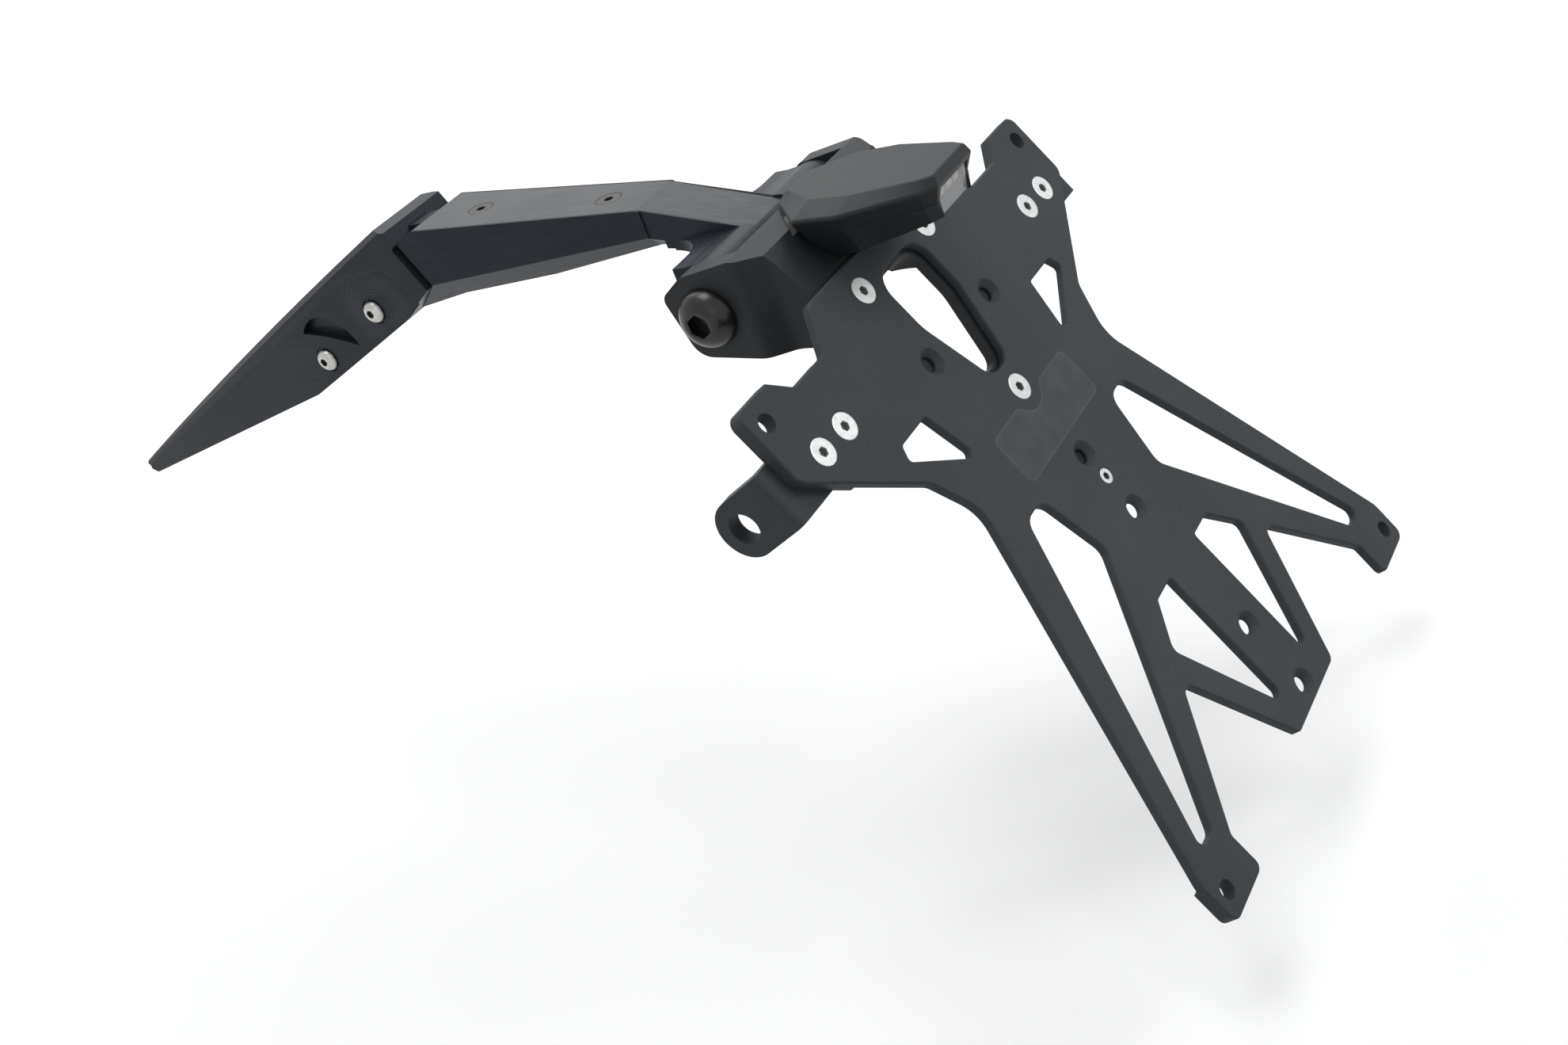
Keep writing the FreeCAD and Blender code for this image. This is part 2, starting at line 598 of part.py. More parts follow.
def slot_outlines():
    small = [(SMALL_IN, -SMALL_TOP, 1.2), (SMALL_OUT, -SMALL_TOP, 1.5),
             (SMALL_EAR_HALF, -SMALL_EAR_DROP, 1.5), (SMALL_TIP_HALF, -SMALL_TIP_DROP, 1.7)]
    long = [(LONG_TOP_IN, -LONG_TOP, 4.6), (LONG_TOP_OUT, -LONG_TOP, 4.6),
            (LONG_FOOT_OUT, -LONG_FOOT, 2.5), (LONG_FOOT_IN, -LONG_FOOT, 2.5),
            (LONG_KNEE_HALF, -LONG_KNEE_DROP, 5)]
    inner = [(INNER_IN, -INNER_TOP, 1), (INNER_OUT, -INNER_TOP, 1.5),
             (INNER_EAR_HALF, -INNER_EAR_DROP, 3), (INNER_IN, -INNER_TIP_DROP, 1.8)]
    right = [small, long, inner]
    return [eye_outline()] + right + [mirrored(points) for points in right]


SCREW_PLACES = [(TOP_SCREW_HALF, 0), (-TOP_SCREW_HALF, 0), (0, -LOW_SCREW_DROP)]
BRACKET_SCREWS = [(side * x, -BRACKET_DROP) for side in (-1, 1)
                  for x in (BRACKET_SCREW_IN, BRACKET_SCREW_OUT)]
SPARE_PLACES = [(SPARE_HALF, -SPARE_DROP), (-SPARE_HALF, -SPARE_DROP), (0, -SPARE_LOW_DROP),
                (0, -PLATE_HOLE_A), (0, -PLATE_HOLE_B), (0, -PLATE_HOLE_C)]
CORNERS = [(side * CORNER_HALF, -drop) for side in (-1, 1) for drop in (CORNER_TOP, CORNER_LOW)]


def plate_carrier():
    body = new_body("plate_carrier", AT_PLATE)
    pad(body, "sheet", drawn(body, "outline", "XY_Plane", [plate_outline()]),
        "Dimensions.plate_thickness + Dimensions.pad_rise", reverse=True)
    far = 2 * THROUGH
    thin = both_sides([
        (PAD_INNER, far), (PAD_INNER, -WING_PAD_DROP, 1), (far, -WING_PAD_DROP),
        (far, -FOOT_PAD_DROP), (FOOT_PAD_INNER, -FOOT_PAD_DROP, 1), (FOOT_PAD_INNER, -far)])
    behind = lift(-PLATE_THICKNESS)
    pocket(body, "thin_back", drawn(body, "thin_outline", "XY_Plane", [thin], behind),
           "2 * Dimensions.pad_rise")
    cut_through(body, "slots", drawn(body, "slot_outlines", "XY_Plane", slot_outlines()))
    rim = edges_where(body, lambda edge: in_plane(edge, 0, "z"))
    dress(body, "Chamfer", "broken_edge", rim, Size="Dimensions.plate_edge")
    corners = new_sketch(body, "corner_threads", "XY_Plane")
    for x, y in CORNERS:
        add_circle(corners, x, y, "corner_bore")
    cut_through(body, "corners", corners)
    set_hole = new_sketch(body, "set_screw_hole", "XY_Plane")
    add_circle(set_hole, 0, -SET_SCREW_DROP, "set_screw_size")
    cut_through(body, "set_hole", set_hole)
    doc.recompute()
    marks = new_sketch(body, "screw_holes", "XY_Plane")
    for x, y in SCREW_PLACES + BRACKET_SCREWS + SPARE_PLACES:
        add_circle(marks, x, y, "clear_hole")
    doc.recompute()
    holes = body.newObject("PartDesign::Hole", "plate_carrier_holes")
    holes.Profile = marks
    doc.recompute()
    holes.DepthType = "ThroughAll"
    holes.Threaded = False
    holes.HoleCutType = "Countersink"
    holes.HoleCutCustomValues = True
    holes.HoleCutCountersinkAngle = 90
    holes.setExpression("Diameter", "Dimensions.clear_hole")
    holes.setExpression("HoleCutDiameter", "Dimensions.mouth")
    return keep(body, "plate_carrier")


# Indicator brackets: a flange behind the wing pad and an ear that points forward
def indicator_bracket(label, side):
    body = new_body(label, AT_PLATE)
    face = -PLATE_THICKNESS - PAD_RISE
    top = -BRACKET_DROP + BRACKET_HEIGHT / 2
    foot = -BRACKET_DROP - BRACKET_HEIGHT / 2
    near, far = BRACKET_INNER * side, BRACKET_OUTER * side
    flange = [(near, top, 3), (far, top), (far, foot), (near, foot, 3)]
    pad(body, "flange", drawn(body, "flange_outline", "XY_Plane", [flange], lift(face)),
        "Dimensions.bracket_wall",
        reverse=True)
    round_end = BRACKET_HEIGHT / 2 - 0.05
    tip = -EAR_REACH - BRACKET_HEIGHT / 2
    ear = [(top, face), (top, tip, round_end), (foot, tip, round_end), (foot, face)]
    outer = Placement(Vector(0, 0, far), Rotation())
    pad(body, "ear", drawn(body, "ear_outline", "YZ_Plane", [ear], outer), "Dimensions.bracket_wall",
        reverse=side > 0)
    corner = edges_where(body, lambda e: in_plane(e, far, "x") and in_plane(e, face, "z"))
    dress(body, "Fillet", "outer_bend", corner, Radius=2.2)
    inner = edges_where(body, lambda e: in_plane(e, far - side * BRACKET_WALL, "x")
                        and in_plane(e, face - BRACKET_WALL, "z"))
    dress(body, "Fillet", "inner_bend", inner, Radius=1.5)
    bore = new_sketch(body, "indicator_hole", "YZ_Plane")
    add_circle(bore, -BRACKET_DROP, -EAR_REACH, "ear_bore")
    cut_through(body, "bore", bore)
    threads = new_sketch(body, "threads", "XY_Plane")
    for x in (BRACKET_SCREW_IN, BRACKET_SCREW_OUT):
        add_circle(threads, side * x, -BRACKET_DROP, "tapped_bore")
    cut_through(body, "tapped", threads)
    return keep(body, label)


# Lamp outline, seen from above, from the tilt axis
def lamp_outline():
    half = [(LAMP_FRONT_HALF, LAMP_FRONT_Y), (LAMP_EAR_HALF, LAMP_EAR_Y),
            (LAMP_SIDE_HALF, LAMP_SIDE_Y), (LAMP_HIP_HALF, LAMP_HIP_Y),
            (LAMP_REAR_HALF, LAMP_REAR_Y)]
    return [(-p[0], p[1]) for p in half] + list(reversed(half))


def lamp_flat():
    half = [(FLAT_FRONT_HALF, FLAT_FRONT_Y), (FLAT_EAR_HALF, FLAT_EAR_Y),
            (FLAT_SIDE_HALF, FLAT_SIDE_Y), (FLAT_HIP_HALF, FLAT_HIP_Y),
            (FLAT_REAR_HALF, FLAT_REAR_Y)]
    return [(-p[0], p[1]) for p in half] + list(reversed(half))


# Tilt head
def head_rear_line(gap=0.0):
    """The head's rear face above the plate, between the ridge and the plate's back, moved by gap."""
    low = plate_point(HEAD_BACK_HIGH, -PLATE_THICKNESS)
    high = (RIDGE_Y, RIDGE_Z)
    length = math.hypot(high[0] - low[0], high[1] - low[1])
    shift = (-(high[1] - low[1]) / length * gap, (high[0] - low[0]) / length * gap)
    return (low[0] + shift[0], low[1] + shift[1]), (high[0] + shift[0], high[1] + shift[1])


def tilt_head():
    body = new_body("tilt_head", AT_PIVOT)
    back_low = plate_point(HEAD_BACK_LOW, -PLATE_THICKNESS - SEAT_GAP)
    back_high = plate_point(HEAD_BACK_HIGH, -PLATE_THICKNESS - SEAT_GAP)
    side = [(CHEEK_TOP_Y, CHEEK_TOP_Z, 3), (CHEEK_NOSE_Y, CHEEK_NOSE_Z, 3),
            (CHEEK_CHIN_Y, CHEEK_CHIN_Z, 6), (HEAD_FLOOR_Y, HEAD_FLOOR_Z, 10), back_low,
            back_high, (RIDGE_Y, RIDGE_Z), (CROWN_Y, CROWN_Z)]
    pad(body, "block", drawn(body, "side_view", "YZ_Plane", [side]), "2 * Dimensions.head_half",
        symmetric=True)
    wide = HEAD_HALF + 5
    waste = [(HEAD_HALF, CREASE_Y, 6), (RIDGE_HALF, RIDGE_Y, 6), (BACK_HALF, back_low[0] - 5),
             (wide, back_low[0] - 5), (wide, CREASE_Y + 6), (HEAD_HALF, CREASE_Y + 6)]
    cut_through(body, "drawn_in", drawn(body, "plan_waste", "XY_Plane", [waste, mirrored(waste)]))
    gap_half = BARREL_HALF + RUNNING_GAP
    far = THROUGH
    throat = [(COLLAR_Y, far), (far, far), (far, -far), (LIP_Y, -far), (LIP_Y, 0), (COLLAR_Y, 0)]
    between = "2 * (Dimensions.barrel_half + Dimensions.running_gap)"
    pocket(body, "throat", drawn(body, "throat_view", "YZ_Plane", [throat]), between, symmetric=True)
    round_cut = new_sketch(body, "barrel_view", "YZ_Plane")
    add_circle(round_cut, 0, 0, "barrel_room")
    pocket(body, "barrel_seat", round_cut, between, symmetric=True)
    end_cut = new_sketch(body, "arm_end_view", "YZ_Plane")
    add_circle(end_cut, 0, 0, "arm_end_room")
    pocket(body, "arm_end_seat", end_cut, "2 * (Dimensions.arm_end_half + 2 * Dimensions.running_gap)",
           symmetric=True)
    seat = drawn(body, "seat_outline", "XY_Plane", [inset(lamp_outline(), -RUNNING_GAP)], lift(LAMP_SEAT))
    pocket(body, "lamp_seat", seat, "Dimensions.through", reverse=True)
    # Flange behind the sheet, with the lower boss
    behind = ON_PLATE * lift(-PLATE_THICKNESS - SEAT_GAP)
    flange = both_sides([
        (FLANGE_HALF, TOP_RISE - 2, 2), (FLANGE_HALF, -SPARE_DROP - 4, 4),
        (FLANGE_HALF - 2, -FLANGE_MID_DROP, 6), (FLANGE_FOOT_HALF, -FLANGE_FOOT_DROP, 3)])
    pad(body, "flange", drawn(body, "flange_outline", "XY_Plane", [flange], behind),
        "Dimensions.flange_thickness",
        reverse=True)
    boss = new_sketch(body, "boss_outline", "XY_Plane", behind)
    add_circle(boss, 0, -LOW_SCREW_DROP, "boss_size")
    pad(body, "boss", boss, "Dimensions.insert_length + 1", reverse=True)
    opening = inset(eye_outline(), EYE_INSET)
    cut_through(body, "eye", drawn(body, "eye_outline", "XY_Plane", [opening], ON_PLATE))
    inserts = new_sketch(body, "insert_holes", "XY_Plane", behind)
    for x, y in SCREW_PLACES:
        add_circle(inserts, x, y, "insert_bore")
    pocket(body, "insert_bores", inserts, "Dimensions.insert_length + Dimensions.seat_gap")
    clear = new_sketch(body, "screw_tips", "XY_Plane", behind)
    for x, y in SCREW_PLACES:
        add_circle(clear, x, y, "clear_hole")
    pocket(body, "tip_bores", clear, "Dimensions.screw_length - Dimensions.plate_thickness + 1")
    pivots = new_sketch(body, "pivot_holes", "YZ_Plane")
    add_circle(pivots, 0, 0, "bolt_bore")
    cut_through(body, "pivots", pivots)
    # Lamp screws come up from below
    screw_lines = new_sketch(body, "lamp_screw_lines", "XY_Plane")
    head_rooms = new_sketch(body, "lamp_head_rooms", "XY_Plane", lift(LAMP_SCREW_TOP - LAMP_SCREW_LENGTH))
    for x in (-LAMP_SCREW_HALF, LAMP_SCREW_HALF):
        add_circle(screw_lines, x, LAMP_SCREW_Y, "lamp_screw_room")
        add_circle(head_rooms, x, LAMP_SCREW_Y, "lamp_head_room")
    cut_through(body, "lamp_bores", screw_lines)
    pocket(body, "lamp_head_bores", head_rooms, "Dimensions.through")
    return keep(body, "tilt_head")


def head_inserts():
    pieces = []
    for number, (x, y) in enumerate(SCREW_PLACES):
        out = -PLATE_THICKNESS - SEAT_GAP
        body = new_body("insert_%d" % number, AT_PLATE * Placement(Vector(x, y, out), Rotation()))
        sketch = new_sketch(body, "ring", "XY_Plane")
        add_circle(sketch, 0, 0, "insert_size")
        add_circle(sketch, 0, 0, "tapped_bore")
        pad(body, "tube", sketch, "Dimensions.insert_length", reverse=True)
        pieces.append(body)
    return group("head_inserts", pieces)


# Lamp
LENS_EDGE = LAMP_REAR_Y + LENS_DEPTH
LENS_ROOM_TOP = LAMP_TOP - LAMP_SLOPE_FALL - LENS_RIM + 1
LENS_ROOM_HALF = LAMP_REAR_HALF - LAMP_UNDERCUT - 0.2


def lens_room(body):
    """Open the lamp's rear end for the lens and leave the side walls."""
    behind = LAMP_REAR_Y - LENS_DEPTH
    room = [(LENS_EDGE, -LAMP_TOP), (LENS_EDGE, LENS_ROOM_TOP), (behind, LENS_ROOM_TOP),
            (behind, -LAMP_TOP)]
    sketch = drawn(body, "lens_view", "YZ_Plane", [room])
    cut = pocket(body, "lens_room", sketch, None, symmetric=True)
    cut.Length = 2 * LENS_ROOM_HALF


def lamp_cover():
    body = new_body("lamp_cover", AT_PIVOT)
    floor = LAMP_SEAT + SEAT_GAP
    rim = LAMP_TOP - LAMP_SLOPE_FALL
    loft(body, "AdditiveLoft", "undercut",
         [drawn(body, "seam_outline", "XY_Plane", [[p[:2] for p in inset(lamp_outline(), LAMP_UNDERCUT)]],
                lift(floor)),
          drawn(body, "widest_outline", "XY_Plane", [lamp_outline()], lift(rim))])
    loft(body, "AdditiveLoft", "sloping_rim",
         [drawn(body, "rim_outline", "XY_Plane", [lamp_outline()], lift(rim)),
          drawn(body, "flat_outline", "XY_Plane", [lamp_flat()], lift(LAMP_TOP))])
    edges = edges_where(body, lambda edge: edge.BoundBox.ZMax > floor + SEAT_GAP)
    dress(body, "Fillet", "soft_edges", edges, Radius="Dimensions.lamp_round")
    hollow = [p[:2] for p in inset(lamp_outline(), LAMP_UNDERCUT + LAMP_WALL)]
    pocket(body, "hollow", drawn(body, "hollow_outline", "XY_Plane", [hollow], lift(floor)),
           "Dimensions.lamp_top - Dimensions.lamp_seat - Dimensions.lamp_roof", reverse=True)
    lens_room(body)
    return keep(body, "lamp_cover")


def keel_level(y):
    share = (y - KEEL_REAR_Y) / (KEEL_FRONT_Y - KEEL_REAR_Y)
    return KEEL_REAR_Z + share * (KEEL_FRONT_Z - KEEL_REAR_Z)


def lamp_base_shape(body, waist):
    """Tapering tray below the lamp's seam; waist is how far it stands in from the cover."""
    upper = [p[:2] for p in inset(lamp_outline(), waist)]
    lower = [(x * KEEL_SHARE, y) for x, y in upper]
    top = drawn(body, "top_outline", "XY_Plane", [upper], lift(LAMP_SEAT))
    low = drawn(body, "keel_outline", "XY_Plane", [lower], lift(KEEL_FRONT_Z - 3))
    loft(body, "AdditiveLoft", "taper", [top, low])


def lamp_base():
    body = new_body("lamp_base", AT_PIVOT)
    lamp_base_shape(body, LAMP_UNDERCUT)
    low, high = head_rear_line(SEAT_GAP)
    far = 60
    slope = ((high[0] - low[0]) / (high[1] - low[1]))
    above = (high[0] + slope * 10, high[1] + 10)
    keel_end = LAMP_REAR_Y - 8
    waste = [(keel_end, keel_level(keel_end)), (low[0], keel_level(low[0])), low, above, (far, above[1]),
             (far, -far),
             (keel_end, -far)]
    cut_through(body, "underside", drawn(body, "side_waste", "YZ_Plane", [waste]))
    lens_room(body)
    marks = new_sketch(body, "screw_marks", "XY_Plane")
    for x in (-LAMP_SCREW_HALF, LAMP_SCREW_HALF):
        add_circle(marks, x, LAMP_SCREW_Y, "lamp_screw_bore")
    cut_through(body, "screw_bores", marks)
    return keep(body, "lamp_base")


def lamp_lens():
    body = new_body("lamp_lens", AT_PIVOT)
    top = LENS_ROOM_TOP - SEAT_GAP
    front = LENS_EDGE - SEAT_GAP
    rear = LAMP_REAR_Y + LENS_INSET + LAMP_UNDERCUT / 2
    side = [(front, top), (rear, top), (rear + LENS_LEAN, keel_level(LENS_EDGE) + LENS_INSET),
            (front, keel_level(LENS_EDGE) + LENS_INSET)]
    block = pad(body, "block", drawn(body, "side_view", "YZ_Plane", [side]), None, symmetric=True)
    block.Length = 2 * (LENS_ROOM_HALF - SEAT_GAP)
    return keep(body, "lamp_lens")


def lamp_board():
    body = new_body("lamp_board", AT_PIVOT)
    y = LAMP_REAR_Y + LENS_DEPTH + CHIP_RISE + 0.3
    low = LAMP_SEAT + SEAT_GAP
    board = [(-BOARD_HALF, low), (BOARD_HALF, low), (BOARD_HALF, low + BOARD_HEIGHT),
             (-BOARD_HALF, low + BOARD_HEIGHT)]
    place = Placement(Vector(0, 0, -y), Rotation())
    pad(body, "sheet", drawn(body, "outline", "XZ_Plane", [board], place), "Dimensions.board_thickness",
        reverse=True)
    keep(body, "lamp_board")
    chips = []
    for number in (-1, 0, 1):
        chip = new_body("chip_%d" % (number + 2), AT_PIVOT)
        left = number * CHIP_PITCH - CHIP_SIZE / 2
        base = low + 0.2
        square = [(left, base), (left + CHIP_SIZE, base), (left + CHIP_SIZE, base + CHIP_SIZE - 0.2),
                  (left, base + CHIP_SIZE - 0.2)]
        pad(chip, "sheet", drawn(chip, "outline", "XZ_Plane", [square], place), "Dimensions.chip_rise")
        chips.append(chip)
    return group("lamp_chips", chips)


def lamp_screws():
    pieces = []
    for number, side_x in enumerate((-1, 1)):
        level = LAMP_SCREW_TOP - LAMP_SCREW_LENGTH
        place = Placement(Vector(side_x * LAMP_SCREW_HALF, LAMP_SCREW_Y, level), turn_x(180))
        body = new_body("lamp_screw_%d" % number, AT_PIVOT * place)
        shank_r, head_r = LAMP_SCREW_SIZE / 2, LAMP_SCREW_HEAD / 2
        rise = 2.0
        half = [(0, rise), (head_r, rise), (head_r, 0), (shank_r, 0), (shank_r, -LAMP_SCREW_LENGTH + 0.6),
                (0.5, -LAMP_SCREW_LENGTH), (0, -LAMP_SCREW_LENGTH)]
        turned = body.newObject("PartDesign::Revolution", body.Name + "_turned")
        profile = drawn(body, "profile", "XZ_Plane", [half])
        turned.Profile = profile
        turned.ReferenceAxis = (profile, ["V_Axis"])
        turned.Angle = 360
        pieces.append(body)
    return group("lamp_screws", pieces)


# Arm
def arm_top_line(drop):
    """The arm's top from the rear to the nose, lowered square to itself by drop."""
    rear = (ARM_KINK_Y - ARM_REAR_Y, ARM_KINK_Z - ARM_REAR_Z)
    front = (ARM_FRONT_Y - ARM_KINK_Y, ARM_FRONT_Z - ARM_KINK_Z)
    rear_angle, front_angle = math.atan2(rear[1], rear[0]), math.atan2(front[1], front[0])
    middle = (rear_angle + front_angle) / 2
    spread = drop / math.cos((rear_angle - front_angle) / 2)
    kink = (ARM_KINK_Y + spread * math.sin(middle), ARM_KINK_Z - spread * math.cos(middle))
    return rear_angle, kink, front_angle


def top_at(y, drop):
    rear_angle, kink, front_angle = arm_top_line(drop)
    angle = rear_angle if y < kink[0] else front_angle
    return kink[1] + (y - kink[0]) * math.tan(angle)


def arm_half(y):
    """Half width of the arm in front of its kink."""
    share = (y - ARM_KINK_Y) / (ARM_FRONT_Y - ARM_KINK_Y)
    return ARM_KINK_HALF + share * (ARM_FRONT_HALF - ARM_KINK_HALF)


def cover_plan(gap):
    """Cover seen from above; gap widens it for the recess."""
    lip = COVER_LIP - gap
    front, rear = ARM_FRONT_Y + gap, COVER_REAR_Y - gap
    half = [(ARM_END_HALF - lip, rear, 0), (ARM_END_HALF - lip, ARM_KINK_Y - 12, 0),
            (ARM_KINK_HALF - lip, ARM_KINK_Y, 0), (ARM_FRONT_HALF - lip, front, 1.2)]
    return both_sides(half)


def plan_waste(outline, reach):
    """Everything round an outline: a wide frame whose hole is the outline."""
    frame = [(-reach, -reach), (reach, -reach), (reach, reach), (-reach, reach)]
    return [frame, outline]


def arm():
    body = new_body("arm_blank", AT_PIVOT)
    split = ARM_KINK_Y - 6
    wide = BARREL_HALF
    front = [(split, top_at(split, 0)), (ARM_KINK_Y, ARM_KINK_Z), (ARM_FRONT_Y, ARM_FRONT_Z),
             (ARM_BEVEL_Y, ARM_BEVEL_Z), (ARM_BEVEL_Y + 12, ARM_BEVEL_Z - 5),
             (ARM_TIP_Y + 6, ARM_TIP_Z), (ARM_TIP_Y, ARM_TIP_Z), (ARM_LOW_Y, ARM_LOW_Z),
             (ARM_BELLY_Y, ARM_BELLY_Z), (ARM_KNEE_Y, ARM_KNEE_Z),
             (split, ARM_KNEE_Z - (ARM_KNEE_Y - split) * 0.12)]
    pad(body, "front", drawn(body, "front_view", "YZ_Plane", [front]), "2 * Dimensions.barrel_half",
        symmetric=True)
    far = THROUGH
    waste = [(ARM_END_HALF + 0.3, split - 1), (ARM_KINK_HALF, ARM_KINK_Y),
             (ARM_FRONT_HALF, ARM_FRONT_Y, 6), (ARM_NECK_HALF, ARM_NECK_Y, 4),
             (ARM_NECK_HALF, 2 * far), (far, 2 * far), (far, split - 1)]
    cut_through(body, "sides", drawn(body, "side_waste", "XY_Plane", [waste, mirrored(waste)]))
    # Sloping facets under the sides
    for side_name, side in (("right", 1), ("left", -1)):
        sections = []
        for number, (y, ridge_half, ridge_z, low_half, low_z) in enumerate((
                (ARM_TIP_Y + 8, arm_half(ARM_TIP_Y) + 0.4, ARM_TIP_Z + 9.2, BEVEL_HALF,
                 ARM_TIP_Z + 0.6),
                (ARM_KINK_Y - 1, ARM_KINK_HALF, ARM_KNEE_Z + 3.7, BEVEL_HALF,
                 ARM_KNEE_Z - 0.2),
                (ARM_ROOT_Y - 1, ARM_END_HALF, ARM_ROOT_Z + 1, BEVEL_HALF + 1.5,
                 ARM_ROOT_Z - 0.2))):
            run, rise = ridge_half - low_half, ridge_z - low_z
            outer = (ridge_half + 1.2 * run, ridge_z + 1.2 * rise)
            inner = (low_half - 0.6 * run, low_z - 0.6 * rise)
            corner = (outer[0], inner[1])
            points = [outer, inner, corner] if side > 0 else mirrored([outer, inner, corner])
            at = Placement(Vector(0, 0, -y), Rotation())
            sections.append(drawn(body, "facet_%s_%d" % (side_name, number), "XZ_Plane", [points], at))
        loft(body, "SubtractiveLoft", "facet_" + side_name, sections)
    # Rear end over the barrel
    end_z = math.sqrt(ARM_END_RADIUS ** 2 - ARM_END_REACH ** 2)
    rear = [(split + 0.5, top_at(split + 0.5, 0)), (-ARM_END_REACH, end_z), (-BARREL_RADIUS + 0.5, 0),
            (0, -5),
            (ARM_ROOT_Y, ARM_ROOT_Z), (split + 0.5, ARM_KNEE_Z - (ARM_KNEE_Y - split) * 0.12)]
    pad(body, "rear", drawn(body, "rear_view", "YZ_Plane", [rear]), "2 * Dimensions.arm_end_half",
        symmetric=True)
    barrel = new_sketch(body, "barrel_view", "YZ_Plane")
    add_circle(barrel, 0, 0, "barrel_size")
    pad(body, "barrel", barrel, "2 * Dimensions.barrel_half", symmetric=True)
    flare = [(0, BARREL_RADIUS - 0.02), (8, 10.8), (split - 2, 10.2), (split - 2, 7.4), (ARM_ROOT_Y, 6.4),
             (10, -2), (0, -6)]
    flare_body = drawn(body, "flare_view", "YZ_Plane", [flare])
    pad(body, "flare", flare_body, "2 * (Dimensions.barrel_half - 1)", symmetric=True)
    inside = ARM_END_HALF
    hollow = [(inside, split + 5), (inside, FLARE_Y, FLARE_ROUND), (wide + 1, FLARE_Y),
              (wide + 1, split + 5)]
    cut_through(body, "flare_hollow", drawn(body, "flare_waste", "XY_Plane", [hollow, mirrored(hollow)]))
    # Tenon for the nose, in the nose's own slope
    slope = Placement(Vector(NOSE_START, NOSE_LEVEL, 0), Rotation(Vector(0, 0, 1), -NOSE_SLOPE_DEG))
    gap = SEAT_GAP
    off = [(NOSE_REAR - gap, far), (NOSE_REAR - gap, -NOSE_BACK_DROP - gap),
           (NOSE_HEEL + gap, -NOSE_HEEL_DROP - gap), (NOSE_HEEL + gap, -far), (far, -far), (far, far)]
    cut_through(body, "nose_face", drawn(body, "nose_waste", "YZ_Plane", [off], slope))
    tenon = [(NOSE_REAR - 8, -TENON_TOP - 3), (NOSE_REAR, -TENON_TOP),
             (TENON_LENGTH, -TENON_TOP, 1), (TENON_LENGTH, -TENON_FOOT, 1),
             (NOSE_REAR - 8, -TENON_FOOT)]
    pad(body, "tenon", drawn(body, "tenon_view", "YZ_Plane", [tenon], slope), "2 * Dimensions.tenon_half",
        symmetric=True)
    threads = new_sketch(body, "side_threads", "YZ_Plane", slope)
    for along, drop in NOSE_SCREWS:
        add_circle(threads, along, -drop, "tapped_bore")
    cut_through(body, "side_thread_bores", threads)
    # Cable channel with its two screw posts
    lip = CHANNEL_DEPTH
    channel = [(CHANNEL_REAR_Y, top_at(CHANNEL_REAR_Y, lip)), (arm_top_line(lip)[1]),
               (CHANNEL_FRONT_Y, top_at(CHANNEL_FRONT_Y, lip)), (CHANNEL_FRONT_Y, 60),
               (CHANNEL_REAR_Y, 60)]
    pocket(body, "channel", drawn(body, "channel_view", "YZ_Plane", [channel]),
           "2 * Dimensions.channel_half",
           symmetric=True)
    for number, y in enumerate((COVER_SCREW_FRONT, COVER_SCREW_REAR)):
        post = new_sketch(body, "post_%d_outline" % number, "XY_Plane",
                          cover_normal(y, -CHANNEL_DEPTH - 0.5))
        add_circle(post, 0, 0, "post_size")
        pad(body, "post_%d" % number, post, "Dimensions.channel_depth + 0.4")
        tapped = new_sketch(body, "post_%d_bore" % number, "XY_Plane", cover_normal(y, 1))
        add_circle(tapped, 0, 0, "tapped_bore")
        pocket(body, "post_%d_thread" % number, tapped, "Dimensions.screw_length + 1.5")
    bolts = new_sketch(body, "pivot_threads", "YZ_Plane")
    add_circle(bolts, 0, 0, "bolt_bore")
    cut_through(body, "pivot_bores", bolts)
    # Recess for the cover
    room = new_body("cover_room", AT_PIVOT)
    under = arm_top_line(COVER_THICKNESS + SEAT_GAP)[1]
    level = [(COVER_REAR_Y - 8, top_at(COVER_REAR_Y - 8, COVER_THICKNESS + SEAT_GAP)), under,
             (ARM_FRONT_Y + 8, top_at(ARM_FRONT_Y + 8, COVER_THICKNESS + SEAT_GAP)),
             (ARM_FRONT_Y + 8, 60), (COVER_REAR_Y - 8, 60)]
    pad(room, "block", drawn(room, "side_view", "YZ_Plane", [level]), "2 * Dimensions.barrel_half",
        symmetric=True)
    cut_through(room, "sides", drawn(room, "plan", "XY_Plane", plan_waste(cover_plan(SEAT_GAP), 2 * far)))
    cut = doc.addObject("Part::Cut", "arm")
    cut.Base = body
    cut.Tool = room
    return keep(cut, "arm")


def cover_normal(y, height):
    """Place square to the arm's top at y, height above it, in the frame of the tilt axis."""
    angle = arm_top_line(0)[2]
    z = top_at(y, 0)
    return Placement(Vector(0, y - height * math.sin(angle), z + height * math.cos(angle)),
                     turn_x(math.degrees(angle)))


